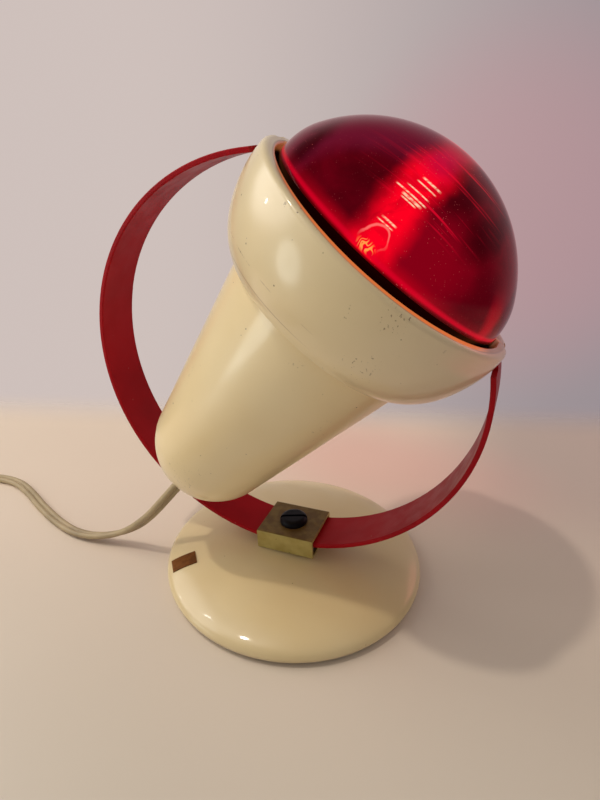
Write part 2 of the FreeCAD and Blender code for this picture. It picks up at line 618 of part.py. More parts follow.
def make_clip():
    half_width = CLIP_WIDTH / 2
    inner_half = BOW_WIDTH / 2 + CLIP_SIDE_CLEARANCE
    body = box(-CLIP_LENGTH / 2, CLIP_LENGTH / 2, -half_width, half_width, 0, CLIP_HEIGHT)
    long_edges = [edge for edge in body.Edges
                  if edge.BoundBox.YLength + edge.BoundBox.ZLength < CLIP_EDGE_RADIUS]
    body = body.makeFillet(CLIP_EDGE_RADIUS, long_edges)
    body = body.cut(box(-CLIP_LENGTH, CLIP_LENGTH, -inner_half, inner_half, CLIP_FLOOR, TUNNEL_TOP))
    body = body.cut(cylinder(CLIP_SCREW_RADIUS + RUNNING_CLEARANCE, TUNNEL_TOP - CUT_PAST,
                             CLIP_HEIGHT + CUT_PAST))
    shank = cylinder(BOLT_RADIUS + EASY_CLEARANCE, -FOOT_WALL, CLIP_FLOOR + CUT_PAST)
    shank.rotate(V(0, 0, 0), Y_AXIS, BOW_LEAN)
    save("clip_channel", on_clip(body.cut(shank)))

    block, round_body = strip_in_clip(BOW_RADIUS + SLIDING_CLEARANCE, SHOE_LENGTH, CLIP_FLOOR, CLIP_HEIGHT)
    shoe = on_clip(block.cut(round_body))
    bolt_top = CLIP_BASE_HEIGHT + CLIP_FLOOR + BOLT_HEAD_LIFT + BOLT_HEAD_HEIGHT
    cone_low = bolt_top - BOLT_HEAD_HEIGHT
    well = Part.makeCone(BOLT_RADIUS, BOLT_HEAD_RADIUS, BOLT_HEAD_HEIGHT, V(0, 0, cone_low), Z_AXIS)
    well = well.fuse(cylinder(BOLT_HEAD_RADIUS, bolt_top, bolt_top + CLIP_HEIGHT))
    shoe = shoe.cut(well).cut(cylinder(BOLT_RADIUS + RUNNING_CLEARANCE, 0, bolt_top))
    save("clip_shoe", shoe)

    pad_top = TUNNEL_TOP - PAD_TOP_GAP
    block, round_body = strip_in_clip(BOW_INNER_RADIUS - SLIDING_CLEARANCE, PAD_LENGTH, CLIP_FLOOR, pad_top)
    pad = block.common(round_body)
    tip_low = pad_top - CLIP_SCREW_TIP_DEPTH
    pad = pad.cut(cylinder(CLIP_SCREW_TIP_RADIUS + RUNNING_CLEARANCE, tip_low, pad_top + CUT_PAST))
    save("clip_pad", on_clip(pad))

    head = cylinder(CLIP_SCREW_HEAD_RADIUS, CLIP_HEIGHT, CLIP_HEIGHT + CLIP_SCREW_HEAD_HEIGHT)
    head = head.makeFillet(CLIP_SCREW_HEAD_HEIGHT * CLIP_SCREW_DOME_SHARE, [head.Edges[0]])
    screw = head.fuse(cylinder(CLIP_SCREW_RADIUS, pad_top, CLIP_HEIGHT))
    screw = screw.fuse(cylinder(CLIP_SCREW_TIP_RADIUS, tip_low, pad_top)).removeSplitter()
    screw = slotted(screw, CLIP_HEIGHT + CLIP_SCREW_HEAD_HEIGHT, SLOT_WIDTH, SLOT_DEPTH,
                    CLIP_SCREW_HEAD_RADIUS, SLOT_TURN)
    save("clip_screw", on_clip(screw))

    under = FOOT_CROWN_HEIGHT - FOOT_WALL
    nut_low = under - BOLT_WASHER_THICKNESS - BOLT_NUT_HEIGHT
    bolt = Part.makeCone(BOLT_RADIUS, BOLT_HEAD_RADIUS, BOLT_HEAD_HEIGHT, V(0, 0, cone_low), Z_AXIS)
    bolt = bolt.fuse(cylinder(BOLT_RADIUS, nut_low - BOLT_PAST_NUT, cone_low)).removeSplitter()
    save("clip_bolt", slotted(bolt, bolt_top, BOLT_SLOT_WIDTH, BOLT_SLOT_DEPTH, BOLT_HEAD_RADIUS, 90))
    save("clip_bolt_washer", tube(BOLT_WASHER_RADIUS, BOLT_RADIUS + EASY_CLEARANCE,
                                  under - BOLT_WASHER_THICKNESS, under))
    corners = []
    for corner in range(7):
        turn = math.tau * corner / 6
        corners.append(V(BOLT_NUT_RADIUS * math.cos(turn), BOLT_NUT_RADIUS * math.sin(turn), nut_low))
    nut = Part.Face(Part.makePolygon(corners)).extrude(V(0, 0, BOLT_NUT_HEIGHT))
    save("clip_bolt_nut", nut.cut(cylinder(BOLT_RADIUS + RUNNING_CLEARANCE, nut_low - CUT_PAST, under)))

    washer = tube(SEAT_WASHER_RADIUS, BOLT_RADIUS + EASY_CLEARANCE, FOOT_CROWN_HEIGHT,
                  FOOT_CROWN_HEIGHT + SEAT_WASHER_THICKNESS * 3)
    above = on_clip(box(-CLIP_LENGTH, CLIP_LENGTH, -CLIP_WIDTH, CLIP_WIDTH, 0, CLIP_HEIGHT))
    save("clip_seat_washer", washer.cut(above))


# ---------------------------------------------------------------- bow
def wedge(turn, low, high):
    """Everything within this turn of the opening's middle, between two Y values."""
    reach = BOW_RADIUS * 2
    x = reach * math.sin(turn)
    z = reach * math.cos(turn)
    outline = [V(0, low, 0), V(x, low, z), V(0, low, reach * 2), V(-x, low, z), V(0, low, 0)]
    return Part.Face(Part.makePolygon(outline)).extrude(V(0, high - low, 0))


def make_bow():
    """The strip in its own frame: circle, a bend each side, and narrow pivot tongues."""
    meet_turn = math.atan2(BEND_AT, BEND_HEIGHT)
    shoulder_turn = meet_turn + TONGUE_SHOULDER_BELOW / BOW_MID_RADIUS
    half = BOW_WIDTH / 2
    past = half + CUT_PAST
    keep = TONGUE_WIDTH / 2
    ring = Part.makeCylinder(BOW_RADIUS, BOW_WIDTH, V(0, -half, 0), Y_AXIS)
    ring = ring.cut(Part.makeCylinder(BOW_INNER_RADIUS, 2 * past, V(0, -past, 0), Y_AXIS))
    ring = ring.cut(wedge(meet_turn, -past, past))
    ring = ring.cut(wedge(shoulder_turn, keep, past)).cut(wedge(shoulder_turn, -past, -keep))
    ring = ring.makeFillet(BOW_EDGE_RADIUS, [edge for edge in ring.Edges if edge.Length > BOW_RADIUS])

    thick = BOW_THICKNESS / 2
    tongue_top = PIVOT_FROM_BOW_CENTRE + TONGUE_END_BEYOND
    pressed_from = PIVOT_FROM_BOW_CENTRE - TONGUE_END_BEYOND
    for side in (1, -1):
        centre = V(side * BEND_AT, -keep, BEND_HEIGHT)
        bend = Part.makeCylinder(TONGUE_BEND_RADIUS + thick, TONGUE_WIDTH, centre, Y_AXIS)
        bend = bend.cut(Part.makeCylinder(TONGUE_BEND_RADIUS - thick, TONGUE_WIDTH, centre, Y_AXIS))
        sector = Part.Face(Part.makePolygon([
            centre, V(0, -keep, BEND_HEIGHT), V(0, -keep, 0), centre]))
        bend = bend.common(sector.extrude(V(0, TONGUE_WIDTH, 0)))
        low_x, high_x = sorted((side * TONGUE_FACE, side * (TONGUE_FACE + BOW_THICKNESS)))
        ring = ring.fuse(bend).fuse(box(low_x, high_x, -keep, keep, BEND_HEIGHT, tongue_top))
        low_x, high_x = sorted((side * TONGUE_BACK, side * BOW_RADIUS))
        ring = ring.cut(box(low_x, high_x, -half, half, pressed_from, BOW_RADIUS))
    round_end = Part.makeCylinder(TONGUE_END_BEYOND, BOW_RADIUS * 2,
                                  V(-BOW_RADIUS, 0, PIVOT_FROM_BOW_CENTRE), X_AXIS)
    cap = box(-BOW_RADIUS, BOW_RADIUS, -half, half, PIVOT_FROM_BOW_CENTRE, BOW_RADIUS)
    ring = ring.cut(cap.cut(round_end))
    hole = Part.makeCylinder(PIVOT_SCREW_RADIUS + RUNNING_CLEARANCE, BOW_RADIUS * 2,
                             V(-BOW_RADIUS, 0, PIVOT_FROM_BOW_CENTRE), X_AXIS)
    ring = ring.cut(hole)
    for side in (1, -1):
        ring = ring.cut(countersink(side, TONGUE_BACK, RUNNING_CLEARANCE))
        ring = ring.cut(screwdriver_way(side, TONGUE_BACK))
    print("bow ends", round(math.degrees(meet_turn), 2), "degrees from the opening's middle")
    save("bow_strip", on_bow(ring.removeSplitter()))


def countersink(side, face, clearance):
    """The cone of a pivot screw's head, in the bow's frame, opening outwards."""
    start = V(side * (face - PIVOT_HEAD_HEIGHT), 0, PIVOT_FROM_BOW_CENTRE)
    return Part.makeCone(PIVOT_SCREW_RADIUS + clearance, PIVOT_HEAD_RADIUS + clearance,
                         PIVOT_HEAD_HEIGHT, start, V(side, 0, 0))


def screwdriver_way(side, face):
    """Clear room outside a pivot screw's head, in the bow's frame."""
    return Part.makeCylinder(PIVOT_HEAD_RADIUS + RUNNING_CLEARANCE, BOW_THICKNESS * 2,
                             V(side * face, 0, PIVOT_FROM_BOW_CENTRE), V(side, 0, 0))


# ---------------------------------------------------------------- head shells
def tangent_to_tail(front_radius, front_at, sphere_radius, centre_at):
    """Where a line from the front edge touches the tail's sphere."""
    dz = front_at - centre_at
    distance = math.hypot(front_radius, dz)
    base = math.atan2(dz, front_radius)
    turn = base - math.acos(sphere_radius / distance)
    return (sphere_radius * math.cos(turn), centre_at + sphere_radius * math.sin(turn)), turn


def dipped(shape):
    """What lies below the rim's line, which is highest at the pivots and dips between them."""
    sweep = (RIM_OUTER_RADIUS ** 2 + RIM_DIP ** 2) / (2 * RIM_DIP)
    reach = RIM_OUTER_RADIUS * 2
    saddle = Part.makeCylinder(sweep, 2 * reach, V(-reach, 0, RIM_HEIGHT - sweep), X_AXIS)
    return shape.common(saddle)


def rim_edges(collar, lip_height):
    """The edges round the collar's top, well above its lip's lower end."""
    return [edge for edge in collar.Edges if edge.BoundBox.ZMin > lip_height + CUT_PAST]


def make_collar():
    over = RIM_HEIGHT + RIM_DIP
    rear = (COLLAR_REAR_RADIUS, COLLAR_REAR)
    flank = smooth([rear] + FLANK_POINTS + [(RIM_OUTER_RADIUS, over)])
    ledge_radius = HOUSING_FRONT_RADIUS + EASY_CLEARANCE
    ledge_top = COLLAR_REAR + WALL
    inner_low = (HOUSING_RIM_RADIUS + EASY_CLEARANCE, ledge_top)
    lip_low = (RIM_INNER_RADIUS, RIM_HEIGHT - RIM_DIP - RIM_LIP_DEPTH)
    inner = [(radius - WALL, height) for radius, height in FLANK_POINTS[:2]]
    top = [line((RIM_OUTER_RADIUS, over), (RIM_INNER_RADIUS, over))]
    base = [line(inner_low, (ledge_radius, ledge_top)),
            line((ledge_radius, ledge_top), (ledge_radius, COLLAR_REAR)),
            line((ledge_radius, COLLAR_REAR), rear)]
    inside = [line((RIM_INNER_RADIUS, over), lip_low), smooth([lip_low, inner[1], inner[0], inner_low])]
    collar = dipped(turned([flank] + top + inside + base))
    collar = collar.makeFillet(RIM_OUTER_ROUND, [edge for edge in rim_edges(collar, lip_low[1])
                                                 if edge.BoundBox.XMax > RIM_INNER_RADIUS + EASY_CLEARANCE])
    collar = collar.makeFillet(RIM_INNER_ROUND, [edge for edge in rim_edges(collar, lip_low[1])
                                                 if edge.BoundBox.XMax < RIM_INNER_RADIUS + EASY_CLEARANCE])
    envelope = turned([flank] + top + [line((RIM_INNER_RADIUS, over), (0, over)),
                                       line((0, over), (0, COLLAR_REAR)), line((0, COLLAR_REAR), rear)])
    lug = cylinder(LUG_RADIUS, ledge_top, LUG_TOP, LUG_CIRCLE_RADIUS, 0)
    for piece in around(lug, LUG_COUNT, LUG_TURN):
        collar = collar.fuse(piece.common(envelope))
    for side in (1, -1):
        boss = Part.makeCylinder(PIVOT_BOSS_RADIUS, INSERT_LENGTH + INSERT_COVER,
                                 V(side * PIVOT_FLAT_AT, 0, 0), V(-side, 0, 0))
        collar = collar.fuse(boss.common(envelope))
        recess = Part.makeCylinder(PIVOT_RECESS_RADIUS, WALL * 2, V(side * PIVOT_FLAT_AT, 0, 0),
                                   V(side, 0, 0))
        collar = collar.cut(recess)
        pocket = Part.makeCylinder(INSERT_RADIUS, INSERT_LENGTH, V(side * PIVOT_FLAT_AT, 0, 0),
                                   V(-side, 0, 0))
        collar = collar.cut(pocket)
    hole = cylinder(HOUSING_SCREW_RADIUS + RUNNING_CLEARANCE, LUG_TOP - HOUSING_SCREW_LENGTH - TIP_CLEARANCE,
                    LUG_TOP + CUT_PAST, LUG_CIRCLE_RADIUS, 0)
    for piece in around(hole, LUG_COUNT, LUG_TURN):
        collar = collar.cut(piece)
    save("front_collar", on_head(collar.removeSplitter()))

    inserts = []
    washers = []
    screws = []
    for side in (1, -1):
        outward = V(side, 0, 0)
        inward = V(-side, 0, 0)
        insert = Part.makeCylinder(INSERT_RADIUS, INSERT_LENGTH, V(side * PIVOT_FLAT_AT, 0, 0), inward)
        thread = Part.makeCylinder(PIVOT_SCREW_RADIUS + RUNNING_CLEARANCE, INSERT_LENGTH + 2 * CUT_PAST,
                                   V(side * (PIVOT_FLAT_AT + CUT_PAST), 0, 0), inward)
        inserts.append(on_head(insert.cut(thread)))
        washer = Part.makeCylinder(PIVOT_WASHER_RADIUS, PIVOT_WASHER_THICKNESS,
                                   V(side * PIVOT_FLAT_AT, 0, 0), outward)
        bore = Part.makeCylinder(PIVOT_SCREW_RADIUS + EASY_CLEARANCE, PIVOT_WASHER_THICKNESS + 2 * CUT_PAST,
                                 V(side * (PIVOT_FLAT_AT - CUT_PAST), 0, 0), outward)
        washers.append(on_head(washer.cut(bore)))
        head = countersink(side, TONGUE_BACK, 0)
        head.translate(V(0, 0, -PIVOT_FROM_BOW_CENTRE))
        neck = TONGUE_BACK - PIVOT_HEAD_HEIGHT
        shank_length = neck - PIVOT_FLAT_AT + INSERT_LENGTH - TIP_CLEARANCE
        shank = Part.makeCylinder(PIVOT_SCREW_RADIUS, shank_length, V(side * neck, 0, 0), inward)
        slot_x = sorted((side * (TONGUE_BACK - PIVOT_SLOT_DEPTH), side * (TONGUE_BACK + CUT_PAST)))
        slot = box(slot_x[0], slot_x[1], -PIVOT_SLOT_WIDTH / 2, PIVOT_SLOT_WIDTH / 2,
                   -PIVOT_HEAD_RADIUS, PIVOT_HEAD_RADIUS)
        screws.append(on_head(head.fuse(shank).removeSplitter().cut(slot)))
    save("pivot_inserts", inserts)
    save("pivot_washers", washers)
    save("pivot_screws", screws)


def housing_profile(front_radius, sphere_radius):
    centre = TAIL_TIP + TAIL_SPHERE_RADIUS
    touch, turn = tangent_to_tail(front_radius, COLLAR_REAR, sphere_radius, centre)
    tip = (0, centre - sphere_radius)
    middle_turn = (turn - math.pi / 2) / 2
    middle = (sphere_radius * math.cos(middle_turn), centre + sphere_radius * math.sin(middle_turn))
    return touch, middle, tip


def make_housing():
    ledge_top = COLLAR_REAR + WALL
    inner_front = HOUSING_FRONT_RADIUS - WALL
    touch_out, middle_out, tip_out = housing_profile(HOUSING_FRONT_RADIUS, TAIL_SPHERE_RADIUS)
    touch_in, middle_in, tip_in = housing_profile(inner_front, TAIL_SPHERE_RADIUS - WALL)
    outline = [
        line((inner_front, HOUSING_RIM_FRONT), (HOUSING_RIM_RADIUS, HOUSING_RIM_FRONT)),
        line((HOUSING_RIM_RADIUS, HOUSING_RIM_FRONT), (HOUSING_RIM_RADIUS, ledge_top)),
        line((HOUSING_RIM_RADIUS, ledge_top), (HOUSING_FRONT_RADIUS, ledge_top)),
        line((HOUSING_FRONT_RADIUS, ledge_top), (HOUSING_FRONT_RADIUS, COLLAR_REAR)),
        line((HOUSING_FRONT_RADIUS, COLLAR_REAR), touch_out),
        arc(touch_out, middle_out, tip_out),
        line(tip_out, tip_in),
        arc(tip_in, middle_in, touch_in),
        line(touch_in, (inner_front, COLLAR_REAR)),
        line((inner_front, COLLAR_REAR), (inner_front, HOUSING_RIM_FRONT)),
    ]
    housing = turned(outline)
    fill = turned([
        line((0, COLLAR_REAR), (HOUSING_FRONT_RADIUS - WALL / 2, COLLAR_REAR)),
        line((HOUSING_FRONT_RADIUS - WALL / 2, COLLAR_REAR), (touch_out[0] - WALL / 2, touch_out[1])),
        arc((touch_out[0] - WALL / 2, touch_out[1]), (middle_out[0] - WALL / 3, middle_out[1] + WALL / 3),
            (0, tip_out[1] + WALL / 2)),
        line((0, tip_out[1] + WALL / 2), (0, COLLAR_REAR))])
    boss_top = HOLDER_BOTTOM - BRACKET_THICKNESS
    boss = cylinder(BRACKET_BOSS_RADIUS, TAIL_TIP, boss_top, BRACKET_SCREW_CIRCLE, 0)
    hole = cylinder(BRACKET_SCREW_RADIUS + RUNNING_CLEARANCE, boss_top - BRACKET_SCREW_LENGTH,
                    boss_top + CUT_PAST, BRACKET_SCREW_CIRCLE, 0)
    for piece in around(boss, 2):
        housing = housing.fuse(piece.common(fill))
    for piece in around(hole, 2):
        housing = housing.cut(piece)
    housing = housing.cut(cylinder(CABLE_HOLE_RADIUS, TAIL_TIP - CUT_PAST, TAIL_TIP + WALL * 3))
    save("rear_housing", on_head(housing.removeSplitter()))

    ring_top = LUG_TOP + CLAMP_RING_THICKNESS
    ring = tube(HOUSING_RIM_RADIUS, CLAMP_RING_INNER_RADIUS, LUG_TOP, ring_top)
    ear = cylinder(CLAMP_EAR_RADIUS, LUG_TOP, ring_top, LUG_CIRCLE_RADIUS, 0)
    ear = ear.fuse(box(CLAMP_RING_INNER_RADIUS + WALL / 2, LUG_CIRCLE_RADIUS, -CLAMP_EAR_RADIUS,
                       CLAMP_EAR_RADIUS, LUG_TOP, ring_top))
    hole = cylinder(HOUSING_SCREW_RADIUS + RUNNING_CLEARANCE, LUG_TOP - CUT_PAST, ring_top + CUT_PAST,
                    LUG_CIRCLE_RADIUS, 0)
    for piece in around(ear, LUG_COUNT, LUG_TURN):
        ring = ring.fuse(piece)
    for piece in around(hole, LUG_COUNT, LUG_TURN):
        ring = ring.cut(piece)
    save("housing_clamp_ring", on_head(ring.removeSplitter()))
    screw = pan_screw(HOUSING_SCREW_RADIUS, HOUSING_SCREW_LENGTH + CLAMP_RING_THICKNESS,
                      HOUSING_SCREW_HEAD_RADIUS, HOUSING_SCREW_HEAD_HEIGHT, SMALL_SLOT_WIDTH)
    screw = placed(screw, LUG_CIRCLE_RADIUS, 0, ring_top)
    save("housing_screws", [on_head(piece) for piece in around(screw, LUG_COUNT, LUG_TURN)])


# ---------------------------------------------------------------- bulb
def dome_arcs(offset):
    """The dome's side arc and crown arc, tangent to each other, moved in by offset."""
    side = BULB_SHOULDER_ARC
    reach = BULB_RADIUS - side
    crown = (side ** 2 - reach ** 2 - BULB_DOME_HEIGHT ** 2) / (2 * (side - BULB_DOME_HEIGHT))
    crown_at = BULB_DOME_HEIGHT - crown
    turn = math.atan2(-crown_at, reach)

    def side_point(angle):
        radius = side - offset
        return reach + radius * math.cos(angle), BULB_SEAM + radius * math.sin(angle)

    def crown_point(angle):
        radius = crown - offset
        return radius * math.cos(angle), BULB_SEAM + crown_at + radius * math.sin(angle)

    meet = side_point(turn)
    tip = (0, BULB_SEAM + BULB_DOME_HEIGHT - offset)
    lower = arc(side_point(0), side_point(turn / 2), meet)
    upper = arc(meet, crown_point((turn + math.pi / 2) / 2), tip)
    return lower, upper


def make_bulb():
    side_out, crown_out = dome_arcs(0)
    side_in, crown_in = dome_arcs(GLASS)
    top = BULB_SEAM + BULB_DOME_HEIGHT
    lens = turned([side_out, crown_out, line((0, top), (0, top - GLASS)), crown_in, side_in,
                   line((BULB_RADIUS - GLASS, BULB_SEAM), (BULB_RADIUS, BULB_SEAM))])
    save("bulb_front_glass", on_head(lens))

    focal = (BULB_SHOULDER_RADIUS ** 2 - BULB_NECK_RADIUS ** 2) / (BULB_SHOULDER_AT - BULB_NECK_AT)
    vertex = BULB_NECK_AT - BULB_NECK_RADIUS ** 2 / focal
    flank = []
    for step in range(MIRROR_STEPS + 1):
        height = BULB_SHOULDER_AT + (BULB_NECK_AT - BULB_SHOULDER_AT) * step / MIRROR_STEPS
        flank.append((math.sqrt(focal * (height - vertex)), height))
    neck = (CAP_RADIUS - CAP_WALL - RUNNING_CLEARANCE, CAP_TOP + NECK_END_ABOVE)
    outline_out = [(BULB_RADIUS, BULB_SEAM)] + flank + [neck]
    outline_in = [(r - GLASS, z) for r, z in outline_out]
    mirror = turned([smooth(outline_out), line(outline_out[-1], outline_in[-1]),
                     smooth(outline_in[::-1]), line(outline_in[0], outline_out[0])])
    save("bulb_mirror_glass", on_head(mirror))

    cap_in = CAP_RADIUS - CAP_WALL
    save("bulb_cap", on_head(tube(CAP_RADIUS, cap_in, CAP_BOTTOM, CAP_TOP + CAP_OVER_NECK)))
    stem_foot = CAP_BOTTOM + CAP_FILL
    insulator_radius = cap_in - RUNNING_CLEARANCE
    insulator = turned_points([(0, stem_foot), (insulator_radius, stem_foot), (insulator_radius, CAP_BOTTOM),
                               (CAP_INSULATOR_TIP_RADIUS, CAP_INSULATOR_TIP), (0, CAP_INSULATOR_TIP)])
    save("bulb_cap_insulator", on_head(insulator))
    contact = cylinder(CAP_CONTACT_RADIUS, CAP_INSULATOR_TIP - CAP_CONTACT_THICKNESS, CAP_INSULATOR_TIP)
    low_edges = [edge for edge in contact.Edges if edge.BoundBox.ZMax < CAP_INSULATOR_TIP - CAP_CONTACT_ROUND]
    contact = contact.makeFillet(CAP_CONTACT_ROUND, low_edges)
    save("bulb_contact", on_head(contact))

    stem = turned_points([(0, stem_foot), (cap_in - GLASS - STEM_FOOT_GAP, stem_foot), (STEM_RADIUS, CAP_TOP),
                          (STEM_RADIUS * STEM_TOP_SHARE, STEM_TOP), (0, STEM_TOP)])
    save("bulb_stem", on_head(stem))
    leads = []
    lead_at = FILAMENT_WIDTH / 2
    for side in (1, -1):
        points = [V(side * LEAD_APART, 0, STEM_TOP), V(side * LEAD_APART, 0, STEM_TOP + LEAD_RISE),
                  V(side * lead_at, 0, FILAMENT_AT - LEAD_RISE),
                  V(side * lead_at, 0, FILAMENT_AT + FILAMENT_RADIUS)]
        leads.append(on_head(round_bar(points, LEAD_RADIUS, "filament lead")))
    save("bulb_filament_leads", leads)
    end = lead_at - LEAD_RADIUS - FILAMENT_GAP
    straight = end - FILAMENT_END_RUN
    filament = [V(-end, 0, FILAMENT_AT), V(-straight, 0, FILAMENT_AT),
                V(-straight / 2, FILAMENT_DEPTH, FILAMENT_AT), V(straight / 2, FILAMENT_DEPTH, FILAMENT_AT),
                V(straight, 0, FILAMENT_AT), V(end, 0, FILAMENT_AT)]
    save("bulb_filament", on_head(round_bar(filament, FILAMENT_RADIUS, "filament")))


# ---------------------------------------------------------------- lampholder and wiring inside the head
def make_holder():
    shell_in = CAP_RADIUS + HOLDER_SHELL_CLEARANCE
    shell_out = shell_in + HOLDER_SHELL_WALL
    body = cylinder(HOLDER_RADIUS, HOLDER_BOTTOM, HOLDER_TOP)
    top_edges = [edge for edge in body.Edges if edge.BoundBox.ZMin > HOLDER_TOP - HOLDER_EDGE_RADIUS]
    body = body.makeFillet(HOLDER_EDGE_RADIUS, top_edges)
    body = body.cut(cylinder(shell_out, HOLDER_WELL_BOTTOM, HOLDER_TOP + CUT_PAST))
    holder_hole = cylinder(BRACKET_SCREW_RADIUS + RUNNING_CLEARANCE, HOLDER_BOTTOM - CUT_PAST,
                           HOLDER_BOTTOM + HOLDER_SCREW_LENGTH, 0, HOLDER_SCREW_CIRCLE)
    for piece in around(holder_hole, 2):
        body = body.cut(piece)
    save("holder_body", on_head(body))
    shell = tube(shell_out, shell_in, HOLDER_WELL_BOTTOM + HOLDER_SHELL_LIFT, HOLDER_TOP - HOLDER_SHELL_SHORT)
    save("holder_shell", on_head(shell))

    contact_face = CAP_INSULATOR_TIP - CAP_CONTACT_THICKNESS
    half = HOLDER_CONTACT_WIDTH / 2
    thick = HOLDER_CONTACT_THICKNESS
    leaf = box(-half, half, -half / 2, half / 2, contact_face - thick, contact_face)
    leaf = leaf.fuse(box(half - thick, half, -half / 2, half / 2, HOLDER_WELL_BOTTOM, contact_face - thick))
    leaf = leaf.fuse(box(0, half, -half / 2, half / 2, HOLDER_WELL_BOTTOM, HOLDER_WELL_BOTTOM + thick))
    save("holder_contact", on_head(leaf.removeSplitter()))

    plate_low = HOLDER_BOTTOM - BRACKET_THICKNESS
    plate = cylinder(BRACKET_RADIUS, plate_low, HOLDER_BOTTOM)
    cut_low = plate_low - CUT_PAST
    cut_high = HOLDER_BOTTOM + CUT_PAST
    plate = plate.cut(cylinder(BRACKET_OPENING_RADIUS, cut_low, cut_high))
    slot_end = TERMINAL_AT + TERMINAL_ROOM
    plate = plate.cut(box(-slot_end, slot_end, -TERMINAL_ROOM, TERMINAL_ROOM, cut_low, cut_high))
    screw_bore = BRACKET_SCREW_RADIUS + RUNNING_CLEARANCE
    bores = around(cylinder(screw_bore, cut_low, cut_high, BRACKET_SCREW_CIRCLE, 0), 2)
    bores += around(cylinder(screw_bore, cut_low, cut_high, 0, HOLDER_SCREW_CIRCLE), 2)
    for bore in bores:
        plate = plate.cut(bore)
    cord_radius = CORD_DIAMETER / 2
    grip_y = cord_radius + CORD_GRIP_CLEARANCE
    half_grip = GRIP_PLATE_WIDTH / 2
    grip_low = plate_low - GRIP_PLATE_LENGTH
    plate = plate.fuse(box(-half_grip, half_grip, grip_y, grip_y + BRACKET_THICKNESS, grip_low, plate_low))
    plate = plate.fuse(box(-half_grip, half_grip, grip_y, grip_y + GRIP_JOIN_DEPTH, plate_low, HOLDER_BOTTOM))
    grip_at = grip_low + CLAMP_BAR_LENGTH / 2 + GRIP_EDGE
    bar = box(-half_grip, half_grip, -grip_y - CLAMP_BAR_THICKNESS, -grip_y, grip_at - CLAMP_BAR_LENGTH / 2,
              grip_at + CLAMP_BAR_LENGTH / 2)
    length = CLAMP_BAR_THICKNESS + 2 * grip_y + BRACKET_THICKNESS + CLAMP_SCREW_PAST
    screw = pan_screw(CLAMP_SCREW_RADIUS, length, CLAMP_SCREW_HEAD_RADIUS, CLAMP_SCREW_HEAD_HEIGHT,
                      SMALL_SLOT_WIDTH)
    grip_screws = []
    for side in (1, -1):
        screw_x = side * CLAMP_SCREW_APART / 2
        bore = Part.makeCylinder(CLAMP_SCREW_RADIUS + RUNNING_CLEARANCE, 2 * length,
                                 V(screw_x, -length, grip_at), Y_AXIS)
        plate = plate.cut(bore)
        bar = bar.cut(bore)
        grip_screws.append(on_head(placed(screw, screw_x, -grip_y - CLAMP_BAR_THICKNESS, grip_at, X_AXIS, 90)))
    save("holder_bracket", on_head(plate.removeSplitter()))
    save("cord_grip_bar", on_head(bar))
    save("cord_grip_screws", grip_screws)

    screw = pan_screw(BRACKET_SCREW_RADIUS, BRACKET_SCREW_LENGTH, BRACKET_SCREW_HEAD_RADIUS,
                      BRACKET_SCREW_HEAD_HEIGHT)
    screw = placed(screw, BRACKET_SCREW_CIRCLE, 0, HOLDER_BOTTOM)
    save("bracket_screws", [on_head(piece) for piece in around(screw, 2)])
    screw = pan_screw(BRACKET_SCREW_RADIUS, HOLDER_SCREW_LENGTH + BRACKET_THICKNESS - TIP_CLEARANCE,
                      BRACKET_SCREW_HEAD_RADIUS, BRACKET_SCREW_HEAD_HEIGHT)
    screw = placed(screw, 0, HOLDER_SCREW_CIRCLE, plate_low, X_AXIS, 180)
    save("holder_screws", [on_head(piece) for piece in around(screw, 2)])

    terminal_low = HOLDER_BOTTOM - TERMINAL_HEIGHT
    post = cylinder(TERMINAL_RADIUS, terminal_low, HOLDER_BOTTOM, TERMINAL_AT, 0)
    save("terminal_screws", [on_head(piece) for piece in around(post, 2)])

    sheath_top = grip_at + CLAMP_BAR_LENGTH / 2 + SHEATH_PAST_GRIP
    save("cord_inner_length", on_head(cylinder(cord_radius, GROMMET_FACE, sheath_top)))
    cores = []
    core_high = terminal_low - CORE_RADIUS
    for side in (1, -1):
        points = [V(side * CORE_APART, 0, sheath_top), V(side * CORE_APART, 0, sheath_top + CORE_RISE),
                  V(side * (TERMINAL_AT - TERMINAL_RADIUS), 0, core_high), V(side * TERMINAL_AT, 0, core_high)]
        cores.append(on_head(round_bar(points, CORE_RADIUS, "core to terminal")))
    save("cord_cores", cores)

    bore = cord_radius + CORD_BORE_CLEARANCE
    centre = TAIL_TIP + TAIL_SPHERE_RADIUS
    seat_out = centre - math.sqrt(TAIL_SPHERE_RADIUS ** 2 - GROMMET_RADIUS ** 2)
    seat_in = centre - (TAIL_SPHERE_RADIUS - WALL)
    neck = CABLE_HOLE_RADIUS - RUNNING_CLEARANCE
    neck_high = seat_in + GROMMET_FLANGE_GAP
    flange_low = neck_high + GROMMET_BEVEL
    flange_high = flange_low + GROMMET_FLANGE
    collar_out = turned_points([(bore, GROMMET_FACE), (GROMMET_END_RADIUS, GROMMET_FACE),
                                (GROMMET_RADIUS, TAIL_TIP - GROMMET_FACE_ROOM), (GROMMET_RADIUS, seat_out),
                                (neck, seat_out), (neck, neck_high), (GROMMET_RADIUS, flange_low),
                                (GROMMET_RADIUS - GROMMET_BEVEL, flange_high), (bore, flange_high)])
    ball = Part.makeSphere(TAIL_SPHERE_RADIUS, V(0, 0, centre))
    hollow = Part.makeSphere(TAIL_SPHERE_RADIUS - WALL, V(0, 0, centre))
    way = cylinder(CABLE_HOLE_RADIUS, TAIL_TIP - CUT_PAST, TAIL_TIP + WALL * 3)
    wall = ball.cut(hollow).cut(way)
    grommet = collar_out.cut(wall)
    save("cord_grommet", on_head(max(grommet.Solids, key=lambda solid: solid.Volume)))


